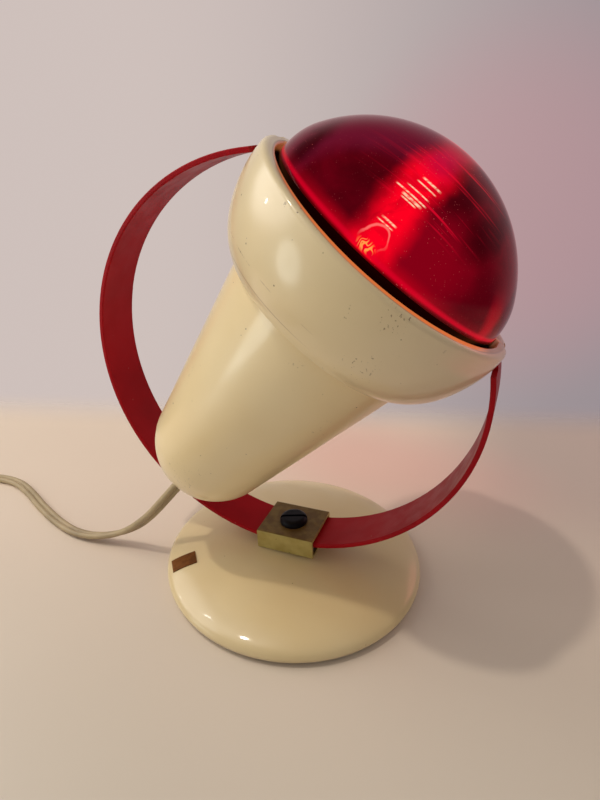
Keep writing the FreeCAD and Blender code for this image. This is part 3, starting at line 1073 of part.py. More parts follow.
# ---------------------------------------------------------------- cord, coil and plug
def make_cord():
    radius = CORD_DIAMETER / 2
    start = head_point(0, 0, GROMMET_FACE - CORD_START_GAP)
    second = head_point(0, 0, GROMMET_FACE - CORD_START_GAP - CORD_FIRST_RUN)
    print("cord starts at", [round(value, 2) for value in start])
    points = [start, second] + [V(*point) for point in CORD_ROUTE]
    save("mains_cord", round_bar(points, radius, "mains cord"))

    outer = COIL_INNER_TURN + (COIL_TURNS_ACROSS - 1) * COIL_TURN_SPACING + radius
    inner = COIL_INNER_TURN - radius
    coil = tube(outer, inner, 0, COIL_LAYERS * CORD_LAYER, COIL_CENTRE[0], COIL_CENTRE[1])
    rims = [edge for edge in coil.Edges if edge.BoundBox.ZLength < CORD_LAYER]
    save("mains_cord_coil", coil.makeFillet(COIL_EDGE_RADIUS, rims))

    lead = [V(*point) for point in PLUG_LEAD]
    save("plug_lead", round_bar(lead, radius, "lead to the plug"))
    along = lead[-1].sub(lead[-2])
    make_plug(lead[-1], math.degrees(math.atan2(along.y, along.x)))


def make_plug(back, turn):
    """A flat two-pin plug lying on the table, its cord entry at back."""
    half_back = PLUG_BACK_WIDTH / 2
    half = PLUG_WIDTH / 2
    wide = PLUG_LENGTH * PLUG_SHOULDER_SHARE
    outline = [V(0, -half_back, 0), V(PLUG_NECK_LENGTH, -half_back, 0), V(wide, -half, 0),
               V(PLUG_LENGTH, -half, 0), V(PLUG_LENGTH, half, 0), V(wide, half, 0),
               V(PLUG_NECK_LENGTH, half_back, 0), V(0, half_back, 0), V(0, -half_back, 0)]
    body = Part.Face(Part.makePolygon(outline)).extrude(V(0, 0, PLUG_THICKNESS))
    body = body.makeFillet(PLUG_EDGE_RADIUS, body.Edges)
    body.translate(V(0, 0, -PLUG_THICKNESS / 2))
    pins = []
    for side in (1, -1):
        y = side * PIN_SPACING / 2
        pin = Part.makeCylinder(PIN_RADIUS, PIN_LENGTH + PIN_ROOT, V(PLUG_LENGTH - PIN_ROOT, y, 0), X_AXIS)
        tip = [edge for edge in pin.Edges if edge.BoundBox.XMin > PLUG_LENGTH]
        hole = Part.makeCylinder(PIN_RADIUS, PIN_ROOT + CUT_PAST, V(PLUG_LENGTH - PIN_ROOT, y, 0), X_AXIS)
        body = body.cut(hole)
        pins.append(placed(pin.makeFillet(PIN_TIP_ROUND, tip), back.x, back.y, back.z, Z_AXIS, turn))
    save("plug_body", placed(body, back.x, back.y, back.z, Z_AXIS, turn))
    save("plug_pins", pins)


def main():
    os.makedirs("parts", exist_ok=True)
    print("bow centre", [round(value, 2) for value in BOW_CENTRE], "pivot", head_point(0, 0, 0))
    make_foot()
    make_clip()
    make_bow()
    make_collar()
    make_housing()
    make_bulb()
    make_holder()
    make_cord()


main()
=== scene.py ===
"""Looks of an infrared heat therapy lamp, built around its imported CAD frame. Metres."""
import json
import math

import bpy
from mathutils import Matrix, Vector


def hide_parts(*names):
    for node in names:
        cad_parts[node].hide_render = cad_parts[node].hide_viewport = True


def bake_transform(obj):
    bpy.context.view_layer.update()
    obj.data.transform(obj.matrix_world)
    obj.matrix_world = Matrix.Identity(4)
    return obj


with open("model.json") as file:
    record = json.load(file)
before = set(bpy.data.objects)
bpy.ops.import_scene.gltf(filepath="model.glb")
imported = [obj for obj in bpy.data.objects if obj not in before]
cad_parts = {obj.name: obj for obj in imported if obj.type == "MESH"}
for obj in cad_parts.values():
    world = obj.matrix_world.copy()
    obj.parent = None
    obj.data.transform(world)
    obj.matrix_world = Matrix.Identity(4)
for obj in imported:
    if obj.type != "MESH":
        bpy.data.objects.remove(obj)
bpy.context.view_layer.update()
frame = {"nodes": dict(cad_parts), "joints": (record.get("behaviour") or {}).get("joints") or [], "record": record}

MM = 0.001
UP = Vector((0, 0, 1))
JOINTS = {joint["name"]: joint for joint in frame["joints"]}

# ---------------------------------------------------------------- the head at rest
BOW_OPENING_TURN = math.radians(53.6)
HEAD_TILT = math.radians(8.2)
PIVOT = Vector(JOINTS["head_tilt"]["pos_m"])
HEAD = (                      # X along the pivot axis, Z up the bulb's axis
    Matrix.Translation(PIVOT)
    @ Matrix.Rotation(math.pi / 2 - BOW_OPENING_TURN, 4, "Y")
    @ Matrix.Rotation(-HEAD_TILT, 4, "X")
)

# ---------------------------------------------------------------- the cord's sizes
CORD_WIDTH = 5.6 * MM
CORD_THICKNESS = 2.9 * MM
CORD_ROUTE = [                # millimetres, from the head's bush to the coil
    (-48.36, -19.47, 45.73),
    (-54.23, -20.9, 37.76),
    (-66.5, -22.5, 21.5),
    (-80.0, -22.0, 9.0),
    (-93.5, -25.2, 3.6),
    (-107.5, -27.0, 2.0),
    (-123.0, -23.5, 1.5),
    (-141.0, -16.5, 1.5),
    (-157.0, -8.6, 1.5),
    (-170.4, -4.4, 1.5),
    (-183.3, -5.6, 1.5),
    (-194.8, -11.6, 1.5),
    (-203.2, -21.5, 1.5),
    (-207.7, -34.7, 1.5),
    (-208.6, -50.5, 1.5),
    (-206.6, -68.0, 1.5),
    (-205.6, -86.0, 1.5),
]
CORD_FINE_END = 25 * MM       # from the exit, closely spaced points up to here
CORD_FINE_STEP = 0.08 * MM
HEAD_ZONE = (4 * MM, 8 * MM)  # from the exit: here the cord bends between the head and the bow
CORD_SPLIT = 10.5 * MM        # where its two pieces meet
BOW_ZONE = (13 * MM, 17 * MM)  # and here between the bow and the foot
LEAN_END = 22 * MM            # from here on its rings stand square to it
EXIT_TWIST = math.radians(-52)
FLAT_FROM = 115 * MM          # from the exit: from here on the cord lies flat
CURVE_STEPS = 6               # points for each control point of the route

COIL_CENTRE = (-165.0, -104.0)
COIL_INNER_TURN = 23.0        # millimetres, as the coil's other sizes: middle of the smallest turn
COIL_TURN_SPACING = 5.8
COIL_LAYER = 2.95             # from one layer to the next
COIL_TABLE_GAP = 0.05
COIL_TURNS = 4                # in each layer
COIL_POINTS = 20              # for each turn
COIL_CHANGE = 4               # points over which a turn moves to the next lane
PLUG_LEAD = [
    (-160.0, -144.1, 4.5),
    (-150.0, -144.6, 5.7),
    (-141.0, -144.8, 7.0),
]


# ---------------------------------------------------------------- mesh tools
def mesh_object(name, points, faces, material):
    data = bpy.data.meshes.new(name)
    data.from_pydata([tuple(point) for point in points], [], faces)
    data.validate()
    data.update()
    data.shade_smooth()
    made = bpy.data.objects.new(name, data)
    bpy.context.scene.collection.objects.link(made)
    data.materials.append(material)
    return made


def nurbs_line(points):
    """The points along the NURBS spline that has these control points."""
    data = bpy.data.curves.new("route", "CURVE")
    data.dimensions = "3D"
    data.resolution_u = CURVE_STEPS
    spline = data.splines.new("NURBS")
    spline.points.add(len(points) - 1)
    for target, point in zip(spline.points, points):
        target.co = (*point, 1.0)
    spline.order_u = 3
    spline.use_endpoint_u = True
    holder = bpy.data.objects.new("route", data)
    mesh = bpy.data.meshes.new_from_object(holder)
    line = [vertex.co.copy() for vertex in mesh.vertices]
    bpy.data.meshes.remove(mesh)
    bpy.data.objects.remove(holder)
    bpy.data.curves.remove(data)
    return line


def lengths_along(line):
    total = [0.0]
    for a, b in zip(line, line[1:]):
        total.append(total[-1] + (b - a).length)
    return total


def refined(line, until, step):
    """The line with points no further apart than step over its first stretch."""
    fine = [line[0]]
    travelled = 0.0
    for a, b in zip(line, line[1:]):
        gap = (b - a).length
        count = math.ceil(gap / step) if travelled < until else 1
        fine += [a.lerp(b, (k + 1) / count) for k in range(count)]
        travelled += gap
    return fine


def sweep(name, line, section, turn_at, slants, offset, material):
    """A closed bar with this section along a line that starts at the distance offset.

    turn_at gives its twist at a distance. Each slant is a direction and its share at a distance:
    the rings lean towards that direction.
    """
    count = len(section)
    points = []
    faces = []
    along = lengths_along(line)
    for index, place in enumerate(line):
        before = line[max(index - 1, 0)]
        after = line[min(index + 1, len(line) - 1)]
        ahead = (after - before).normalized()
        side = ahead.cross(UP).normalized()
        top = side.cross(ahead).normalized()
        distance = along[index] + offset
        twist = turn_at(distance)
        across = side * math.cos(twist) + top * math.sin(twist)
        over = top * math.cos(twist) - side * math.sin(twist)
        for u, v in section:
            out = across * u + over * v
            lean = sum(out.dot(direction) * share_at(distance) for direction, share_at in slants)
            points.append(place + out + ahead * lean)
    for ring in range(len(line) - 1):
        for k in range(count):
            a = ring * count + k
            b = ring * count + (k + 1) % count
            faces.append((a, b, b + count, a + count))
    last = (len(line) - 1) * count
    faces.append(tuple(range(count - 1, -1, -1)))
    faces.append(tuple(last + k for k in range(count)))
    return mesh_object(name, points, faces, material)


def smooth(share):
    """The share with soft ends: 0 below 0, and 1 above 1."""
    share = min(1.0, max(0.0, share))
    return share * share * (3 - 2 * share)


# ---------------------------------------------------------------- node tools
BAND_SOCKETS = ("Value", "From Min", "From Max", "To Min", "To Max")


class Nodes:
    """Short calls for the nodes of one tree."""

    def __init__(self, tree):
        self.tree = tree

    def add(self, kind, **settings):
        node = self.tree.nodes.new("ShaderNode" + kind)
        for key, value in settings.items():
            setattr(node, key, value)
        return node

    def join(self, source, target):
        self.tree.links.new(source, target)

    def feed(self, socket, value):
        """The socket follows another node's output, or keeps a constant; a colour is three numbers."""
        if isinstance(value, bpy.types.NodeSocket):
            self.join(value, socket)
        elif socket.type == "RGBA":
            socket.default_value = (*value, 1.0)
        else:
            socket.default_value = value

    def calc(self, operation, a, b=0.0):
        node = self.add("Math", operation=operation)
        for socket, value in zip(node.inputs, (a, b)):
            self.feed(socket, value)
        return node.outputs[0]

    def times(self, *values):
        result = values[0]
        for value in values[1:]:
            result = self.calc("MULTIPLY", result, value)
        return result

    def off(self, value, middle):
        """How far the value is from the middle, on either side."""
        return self.calc("ABSOLUTE", self.calc("SUBTRACT", value, middle))

    def hypot(self, a, b):
        squares = [self.calc("MULTIPLY", value, value) for value in (a, b)]
        return self.calc("SQRT", self.calc("ADD", *squares))

    def band(self, value, low, high, out_low=0.0, out_high=1.0):
        """The value taken from low..high to out_low..out_high, smoothly and clamped."""
        node = self.add("MapRange", interpolation_type="SMOOTHSTEP")
        for name, source in zip(BAND_SOCKETS, (value, low, high, out_low, out_high)):
            self.feed(node.inputs[name], source)
        return node.outputs["Result"]

    def fade(self, value, start, end, rest=0.0):
        """1 up to the start, and the rest from the end on."""
        return self.band(value, start, end, 1.0, rest)

    def spot(self, x, y, at, size, soft=0.6):
        """1 inside an ellipse of the plane (x, y), falling to 0 outside it."""
        offsets = [
            self.calc("DIVIDE", self.calc("SUBTRACT", value, middle), half)
            for value, middle, half in zip((x, y), at, size)
        ]
        return self.fade(self.hypot(*offsets), 1.0 - soft, 1.0 + soft)

    def mixed(self, share, a, b):
        """Colour a with colour b laid over it by share."""
        node = self.add("Mix", data_type="RGBA")
        self.join(share, node.inputs["Factor"])
        ends = [socket for socket in node.inputs if socket.type == "RGBA"]
        for socket, value in zip(ends, (a, b)):
            self.feed(socket, value)
        return next(socket for socket in node.outputs if socket.type == "RGBA")

    def mixed_shader(self, share, a, b):
        node = self.add("MixShader")
        for socket, source in zip(node.inputs, (share, a, b)):
            self.join(source, socket)
        return node.outputs[0]

    def parts(self, vector):
        """The vector's X, Y and Z."""
        node = self.add("SeparateXYZ")
        self.join(vector, node.inputs[0])
        return node.outputs

    def measure(self, operation, vector, other=(0.0, 0.0, 0.0)):
        """One number from two vectors, or from the first alone."""
        node = self.add("VectorMath", operation=operation)
        self.join(vector, node.inputs[0])
        node.inputs[1].default_value = other
        return node.outputs["Value"]


class Finish(Nodes):
    """One material. Its textures read the object's own coordinates, in metres."""

    def __init__(self, name, colour, roughness, **sockets):
        self.name = name
        self.material = bpy.data.materials.new(name)
        self.material.use_nodes = True
        super().__init__(self.material.node_tree)
        self.shader = self.tree.nodes["Principled BSDF"]
        self.coordinates = self.add("TexCoord").outputs["Object"]
        self.set(base_color=colour, roughness=roughness, **sockets)

    def set(self, **sockets):
        """Constants for the shader's sockets, by their names in small letters."""
        for key, value in sockets.items():
            name = key.replace("_", " ").title().replace("Ior", "IOR")
            self.feed(self.shader.inputs[name], value)

    def drive(self, source, socket):
        self.join(source, self.shader.inputs[socket])

    def driver(self, socket):
        """The output that drives this socket so far."""
        return self.shader.inputs[socket].links[0].from_socket

    def stretched(self, stretch):
        node = self.add("Mapping")
        node.inputs["Scale"].default_value = stretch
        self.join(self.coordinates, node.inputs["Vector"])
        return node.outputs["Vector"]

    def noise(self, scale, detail, distortion=0.0, at=None):
        node = self.add("TexNoise")
        node.inputs["Scale"].default_value = scale
        node.inputs["Detail"].default_value = detail
        node.inputs["Distortion"].default_value = distortion
        self.join(self.coordinates if at is None else at, node.inputs["Vector"])
        return node.outputs["Fac"]

    def specks(self, scale, size, share):
        """1 on a few small round marks: size and spacing follow the cells of this scale."""
        cells = self.add("TexVoronoi")
        cells.inputs["Scale"].default_value = scale
        self.join(self.coordinates, cells.inputs["Vector"])
        draw = self.add("SeparateColor")
        self.join(cells.outputs["Color"], draw.inputs["Color"])
        chosen = self.calc("GREATER_THAN", draw.outputs["Red"], 1.0 - share)
        return self.times(chosen, self.fade(cells.outputs["Distance"], size * 0.6, size))

    def bump(self, height, distance, strength):
        node = self.add("Bump")
        node.inputs["Strength"].default_value = strength
        node.inputs["Distance"].default_value = distance
        self.join(height, node.inputs["Height"])
        self.drive(node.outputs["Normal"], "Normal")

    def in_head(self):
        """Millimetres in the head's frame: along the pivot axis, across it, and up the bulb's axis."""
        node = self.add("Mapping", vector_type="TEXTURE")
        node.inputs["Location"].default_value = PIVOT
        node.inputs["Rotation"].default_value = HEAD.to_euler()
        node.inputs["Scale"].default_value = (MM, MM, MM)
        self.join(self.coordinates, node.inputs["Vector"])
        return self.parts(node.outputs["Vector"])


# ---------------------------------------------------------------- enamel, paint and metal
# The scale of a noise or of specks is about the number of marks in a metre. The limits of band and fade
# are in the units of their value: 0..1 for a noise, millimetres for a place in the head's frame.
CREAM = (0.83, 0.67, 0.40)
COLLAR_CREAM = (0.78, 0.645, 0.41)
FOOT_CREAM = (0.69, 0.548, 0.31)
CREAM_AGED = (0.96, 0.92, 0.84)       # what age leaves of each channel
CREAM_DIRT = (0.16, 0.09, 0.045)
RIM_INNER_RADIUS = 49.9       # millimetres, as the collar's heights: above or below the pivot axis
# heights of two painted shade lines at the collar's back: along the seam, and along a crease
COLLAR_SEAM_AT = -28.8
COLLAR_CREASE_AT = -23.2
SEAM_SHADE = (0.36, 0.24, 0.14)
SHADED_CREAM = (0.62, 0.46, 0.31)     # painted shade: the cream on the side that turns away from the window
BULB_LIGHT_CREAM = (0.88, 0.50, 0.36)       # painted red light of the bulb on the cream
RIM_EDGE = (0.30, 0.12, 0.05)
# painted light: the bulb's orange light on the rim's inner edge, as colour and as glow
RIM_LIP_BULB_LIGHT = (0.55, 0.13, 0.03)
RIM_LIP_PAINTED_GLOW = (0.46, 0.13, 0.035)
# painted shade inside the rim, in the gap around the bulb
RIM_INSIDE_SHADE = (0.10, 0.02, 0.01)
BLACK = (0.0, 0.0, 0.0)
BOW_RED = (0.37, 0.003, 0.009)
BOW_RED_DARK = (0.31, 0.002, 0.007)
BOW_CHIPS = (0.35, 0.12, 0.10)
BRASS = (0.54, 0.44, 0.15)
BRASS_DARK = (0.43, 0.33, 0.095)
TARNISH_AND_SHADE = (0.215, 0.135, 0.036)
TARNISH_AND_SHADE_DARK = (0.15, 0.085, 0.022)
BRASS_DIRT = (0.05, 0.03, 0.015)


def aged_enamel(name, colour, wear, coat=0.6):
    """Cream enamel: faint yellowing, a few dark chips and, by wear, patches of fine scratches."""
    m = Finish(name, colour, 0.36, coat_weight=coat, coat_roughness=0.07)
    aged = tuple(value * share for value, share in zip(colour, CREAM_AGED))
    base = m.mixed(m.band(m.noise(22.0, 2.0), 0.35, 0.75), colour, aged)
    base = m.mixed(m.times(m.specks(330.0, 0.12, 0.012 + 0.03 * wear), 0.85), base, CREAM_DIRT)
    base = m.mixed(m.times(m.specks(620.0, 0.17, 0.004 + 0.022 * wear), 0.7), base, CREAM_DIRT)
    patch = m.band(m.noise(52.0, 2.0), 0.61, 0.68)
    fine = m.band(m.noise(1100.0, 2.0, at=m.stretched((1.0, 0.35, 0.7))), 0.64, 0.70)
    base = m.mixed(m.times(patch, fine, 0.75 * wear), base, CREAM_DIRT)
    m.drive(base, "Base Color")
    m.drive(m.band(m.noise(90.0, 4.0), 0.3, 0.7, 0.30, 0.44), "Roughness")
    m.bump(m.noise(240.0, 2.0), 0.00005, 0.5)
    return m


def collar_cream():
    """The enamel with painted light and shade: the bulb's glow painted on the rim's inner edge, painted shade
    inside the rim, two painted shade lines at the back, and painted shade and the bulb's painted red light on the
    far side.
    """
    m = aged_enamel("collar_cream", COLLAR_CREAM, 1.0)
    across, depth, height = m.in_head()
    radius = m.hypot(across, depth)
    between_pivots = m.band(m.calc("ABSOLUTE", depth), 12.0, 40.0)
    reach = m.calc("ADD", m.times(between_pivots, 1.1), m.band(across, -44.0, -4.0, -0.25, 1.15))
    past = m.calc("SUBTRACT", m.calc("SUBTRACT", radius, RIM_INNER_RADIUS), reach)
    level = m.calc("ADD", height, m.times(m.calc("SUBTRACT", between_pivots, 1.0), 3.0))
    top = m.band(level, -3.6, -2.0)
    lit = m.times(m.band(across, -46.0, -12.0, 0.35, 1.0), m.fade(across, 41.0, 47.0, 0.1))
    # painted light: the bulb's light on the rim's inner edge, with a glow of its own
    painted_lip_light = m.times(m.fade(past, 0.75, 1.2), top, lit)
    edge = m.times(m.fade(past, 1.0, 1.8), top, 0.6)
    # painted shade inside the rim, in the gap around the bulb
    inside = m.times(
        m.fade(level, -3.4, -1.6),
        m.band(height, -9.0, -8.0),
        m.fade(radius, RIM_INNER_RADIUS + 0.2, RIM_INNER_RADIUS + 0.6),
    )
    # painted shade: two dark lines at the collar's back, on the window side only
    seam = m.fade(m.off(height, COLLAR_SEAM_AT), 0.10, 0.30)
    broken = m.band(m.noise(210.0, 3.0), 0.50, 0.60)
    crease_shade = m.times(m.fade(m.off(height, COLLAR_CREASE_AT), 0.05, 0.25), broken)
    lines = m.times(m.calc("MAXIMUM", seam, crease_shade), m.band(across, -10.0, 8.0, 0.6, 0.0))
    # painted red light of the bulb, low on the far side of the collar
    painted_bulb_light = m.times(m.band(across, 30.0, 50.0, 0.0, 0.7), m.band(height, -9.0, -4.0))
    base = m.mixed(lines, m.driver("Base Color"), SEAM_SHADE)
    # painted shade: darker towards the side away from the window
    base = m.mixed(m.band(across, 0.0, 48.0, 0.0, 0.55), base, SHADED_CREAM)
    base = m.mixed(painted_bulb_light, base, BULB_LIGHT_CREAM)
    base = m.mixed(edge, base, RIM_EDGE)
    base = m.mixed(painted_lip_light, base, RIM_LIP_BULB_LIGHT)
    m.drive(m.mixed(inside, base, RIM_INSIDE_SHADE), "Base Color")
    m.drive(m.mixed(painted_lip_light, BLACK, RIM_LIP_PAINTED_GLOW), "Emission Color")
    m.set(emission_strength=1.0)
    return m


def red_paint():
    m = Finish("bow_red", BOW_RED, 0.42, specular_ior_level=0.1, coat_weight=0.04, coat_roughness=0.2)
    base = m.mixed(m.band(m.noise(40.0, 3.0), 0.35, 0.7), BOW_RED, BOW_RED_DARK)
    m.drive(m.mixed(m.times(m.specks(500.0, 0.2, 0.012), 0.5), base, BOW_CHIPS), "Base Color")
    m.drive(m.band(m.noise(150.0, 3.0), 0.3, 0.7, 0.36, 0.50), "Roughness")
    m.bump(m.noise(300.0, 2.0), 0.00005, 0.6)
    return m


def aged_brass():
    """Dull brass, brushed along X, tarnished where it faces up; that tarnish is partly painted shade that keeps
    the top darker than the front.
    """
    m = Finish("clip_brass", BRASS, 0.42, metallic=0.35)
    base = m.mixed(m.band(m.noise(120.0, 5.0), 0.35, 0.65), BRASS, BRASS_DARK)
    facing = m.parts(m.add("NewGeometry").outputs["Normal"])
    # tarnish and painted shade for faces that point up
    top_tarnish_and_shade = m.mixed(m.band(m.noise(260.0, 4.0), 0.35, 0.65), TARNISH_AND_SHADE, TARNISH_AND_SHADE_DARK)
    base = m.mixed(m.band(facing["Z"], 0.6, 0.9), base, top_tarnish_and_shade)
    m.drive(m.mixed(m.times(m.specks(900.0, 0.25, 0.04), 0.6), base, BRASS_DIRT), "Base Color")
    brushed = m.noise(420.0, 4.0, at=m.stretched((0.15, 1.0, 1.0)))
    m.drive(m.band(brushed, 0.3, 0.7, 0.34, 0.52), "Roughness")
    m.bump(m.noise(700.0, 3.0, at=m.stretched((0.08, 1.0, 1.0))), 0.00003, 0.6)
    return m


def metal(name, colour, roughness, metallic=1.0, worn=None):
    m = Finish(name, colour, roughness, metallic=metallic)
    worn = worn or tuple(value * 0.7 for value in colour)
    m.drive(m.mixed(m.band(m.noise(300.0, 4.0), 0.35, 0.7), colour, worn), "Base Color")
    m.drive(m.band(m.noise(600.0, 3.0), 0.3, 0.7, roughness * 0.8, roughness * 1.3), "Roughness")
    m.bump(m.noise(1500.0, 2.0), 0.00002, 0.4)
    return m


def plain(name, colour, roughness, grain=800.0, depth=0.00003, second=None, **sockets):
    m = Finish(name, colour, roughness, **sockets)
    second = second or tuple(value * 0.82 for value in colour)
    m.drive(m.mixed(m.band(m.noise(90.0, 4.0), 0.3, 0.75), colour, second), "Base Color")
    m.bump(m.noise(grain, 3.0), depth, 0.6)
    return m


# ---------------------------------------------------------------- the bulb
BULB_RADIUS = 48.2            # millimetres in the head's frame, as all places and sizes here
BULB_SEAM = 2.3               # height at which the red front starts
BULB_DOME_HEIGHT = 36.5
GLOW_AT = -2.2                # middle of the bright band, along the pivot axis
FILAMENT_GLINTS = [           # painted glints, the filament's reflections: ends along the pivot axis, height and thickness of each bright line
    (-3.6, 2.6, 26.6, 0.35),
    (-4.2, 2.2, 25.2, 0.22),
    (-5.6, 1.8, 23.1, 0.22),
    (-8.0, 2.4, 21.6, 0.26),
    (-4.8, 1.6, 20.7, 0.42),
    (-4.4, 0.4, 19.9, 0.24),
    (-4.4, 0.3, 13.4, 0.34),
    (-5.0, 0.1, 12.3, 0.22),
]
DARK_PATCHES = [              # middle, half sizes and share of each: along the pivot axis, and height
    ((-35.5, 11.0), (3.4, 8.5), 0.9),
    ((9.5, 30.0), (4.5, 4.5), 0.75),
    ((21.5, 26.0), (4.2, 6.0), 0.9),
    ((31.0, 14.0), (6.0, 7.0), 0.5),
    ((-13.0, 19.0), (6.0, 9.0), 0.45),
]
RED_BODY = (0.05, 0.0, 0.001)
RED_DIM = (0.105, 0.0, 0.005)
RED_DIMMER = (0.055, 0.0, 0.003)
RED_RING = (0.125, 0.006, 0.024)
RED_SIDE = (0.24, 0.0, 0.008)
RED_PATCH = (0.022, 0.0, 0.002)
RED_LOW = (0.55, 0.0, 0.010)
RED_FAR_RIM = (0.50, 0.0, 0.010)
RED_BRIGHT = (1.0, 0.0, 0.014)
RED_SEAM = (0.75, 0.0, 0.02)
RED_FOOT = (0.02, 0.0, 0.0)
RED_HEART = (0.62, 0.004, 0.06)
RED_STREAKS = (0.95, 0.004, 0.03)
GLINT = (1.0, 0.62, 0.40)
FILAMENT_LOOP_IMAGE = (1.0, 0.20, 0.17)
FILAMENT_KNOT_IMAGE = (1.0, 0.33, 0.07)
DUST = (0.62, 0.11, 0.10)
SILVER = (0.82, 0.81, 0.79)
SILVER_DULL = (0.62, 0.60, 0.58)
MIRROR_EDGE = (0.012, 0.001, 0.001)   # where the mirror meets the red front


def red_glass():
    """Ruby glass lit from inside, with the mirror's reflections of the filament painted as emission: a bright band
    below the filament, darker sides, rings, streaks, glints, a loop and a knot.
    """
    m = Finish("red_glass", RED_BODY, 0.03, ior=1.2, transmission_weight=0.05,
               specular_ior_level=0.05, coat_weight=0.35, coat_roughness=0.02, coat_ior=1.35)
    across, _, height = m.in_head()
    wander = m.calc("SUBTRACT", m.noise(45.0, 3.0, 0.6), 0.5)
    ripple = m.calc("SUBTRACT", m.noise(160.0, 4.0), 0.5)
    x = m.calc("ADD", across, m.calc("ADD", m.times(wander, 9.0), m.times(ripple, 2.5)))
    y = m.calc("ADD", height, m.times(wander, 5.0))
    above = m.calc("SUBTRACT", height, BULB_SEAM)
    limb = m.hypot(m.calc("DIVIDE", across, BULB_RADIUS), m.calc("DIVIDE", above, BULB_DOME_HEIGHT))
    limb = m.calc("ADD", limb, m.times(ripple, 0.05))
    off_middle = m.off(x, GLOW_AT)

    glow = m.mixed(m.band(m.noise(70.0, 4.0, 0.8), 0.35, 0.7), RED_DIM, RED_DIMMER)
    ring = m.times(m.band(limb, 0.62, 0.78), m.fade(x, -8.0, -2.0))
    glow = m.mixed(m.times(ring, 0.85), glow, RED_RING)
    glow = m.mixed(m.times(m.spot(x, y, (12.0, 12.5), (13.0, 10.0)), 0.8), glow, RED_SIDE)
    for at, size, share in DARK_PATCHES:
        glow = m.mixed(m.times(m.spot(x, y, at, size, 0.7), share), glow, RED_PATCH)
    low = m.times(m.fade(height, 3.5, 8.5), m.fade(off_middle, 10.0, 34.0, 0.22))
    glow = m.mixed(m.times(low, 0.7), glow, RED_LOW)
    far_rim = m.times(
        m.band(limb, 0.78, 0.84),
        m.fade(limb, 0.86, 0.91),
        m.band(x, 24.0, 36.0),
        m.fade(height, 6.0, 20.0),
    )
    glow = m.mixed(m.times(far_rim, 0.6), glow, RED_FAR_RIM)
    spread = m.times(m.fade(off_middle, 2.0, 10.5), m.fade(height, 26.0, 35.0, 0.22))
    clear = m.band(m.noise(130.0, 4.0, 1.2), 0.38, 0.56, 0.72, 1.0)
    glow = m.mixed(m.times(spread, clear), glow, RED_BRIGHT)
    seam = m.times(m.band(height, 3.1, 3.7), m.fade(height, 4.0, 5.2))
    glow = m.mixed(m.times(seam, 0.6), glow, RED_SEAM)
    glow = m.mixed(m.times(m.fade(height, 2.5, 3.3), 0.85), glow, RED_FOOT)
    heart = m.times(
        m.fade(off_middle, 0.5, 7.0),
        m.band(height, 25.0, 33.0),
        m.fade(height, 34.0, 38.5, 0.25),
    )
    glow = m.mixed(m.times(heart, 0.55), glow, RED_HEART)

    # painted streaks: the mirror's curved reflections of the filament
    bent = m.calc("ADD", height, m.times(across, across, 0.0045))
    line_places = m.add("CombineXYZ")
    m.join(m.times(across, 0.03), line_places.inputs["X"])
    m.join(bent, line_places.inputs["Y"])
    streaks = m.band(m.noise(1.1, 3.0, at=line_places.outputs[0]), 0.55, 0.66)
    near = m.times(
        m.fade(off_middle, 8.0, 28.0),
        m.band(height, 16.0, 22.0),
        m.fade(height, 33.0, 37.0, 0.3),
        m.band(across, -14.0, -6.0, 0.15, 1.0),
    )
    glow = m.mixed(m.times(streaks, near, 0.55), glow, RED_STREAKS)

    # painted glints: the filament's reflections in the mirror
    glint = 0.0
    for start, end, at, thick in FILAMENT_GLINTS:
        shape = m.times(
            m.band(across, start - 0.5, start + 0.7),
            m.fade(across, end - 0.7, end + 0.5),
            m.fade(m.off(bent, at), thick * 0.4, thick),
        )
        glint = m.calc("MAXIMUM", glint, shape)
    fading = m.band(m.noise(500.0, 2.0, at=m.stretched((1.0, 1.0, 3.0))), 0.35, 0.55, 0.25, 1.0)
    glow = m.mixed(m.times(glint, fading), glow, GLINT)
    # painted images of the filament: a loop and a knot
    loop_reach = m.hypot(
        m.calc("DIVIDE", m.calc("ADD", x, 3.0), 3.9),
        m.calc("DIVIDE", m.calc("SUBTRACT", height, 7.6), 4.2),
    )
    loop = m.fade(m.off(loop_reach, 1.0), 0.03, 0.11)
    glow = m.mixed(m.times(loop, m.band(height, 5.0, 9.0), m.fade(across, 0.5, 2.5, 0.2), 0.8), glow, FILAMENT_LOOP_IMAGE)
    waves = m.calc("SINE", m.times(m.noise(330.0, 1.0), 20.0))
    knot = m.times(
        m.spot(across, height, (-2.4, 5.0), (2.6, 1.5), 0.4),
        m.band(m.calc("ABSOLUTE", waves), 0.70, 0.92),
    )
    glow = m.mixed(knot, glow, FILAMENT_KNOT_IMAGE)
    dust = m.calc("MAXIMUM", m.specks(800.0, 0.15, 0.10), m.specks(1700.0, 0.24, 0.16))
    glow = m.mixed(m.times(dust, m.band(m.noise(35.0, 2.0), 0.42, 0.6, 0.08, 0.5)), glow, DUST)
    m.drive(glow, "Emission Color")
    m.set(emission_strength=1.0)
    m.drive(m.band(dust, 0.0, 1.0, 0.03, 0.4), "Roughness")
    m.bump(m.noise(60.0, 1.0), 0.0002, 0.2)
    return m


def mirror_glass():
    """Silvered glass, dark where it meets the red front."""
    m = Finish("mirror_glass", SILVER, 0.16, metallic=1.0)
    silver = m.mixed(m.band(m.noise(60.0, 3.0), 0.4, 0.7), SILVER, SILVER_DULL)
    height = m.in_head()["Z"]
    m.drive(m.mixed(m.band(height, -11.0, -9.0), silver, MIRROR_EDGE), "Base Color")
    m.bump(m.noise(140.0, 2.0), 0.0004, 0.5)
    return m


def glowing(name, colour, strength):
    m = Finish(name, colour, 0.5, emission_color=colour, emission_strength=strength)
    m.drive(m.band(m.noise(900.0, 2.0), 0.3, 0.7, 0.35, 0.6), "Roughness")
    return m


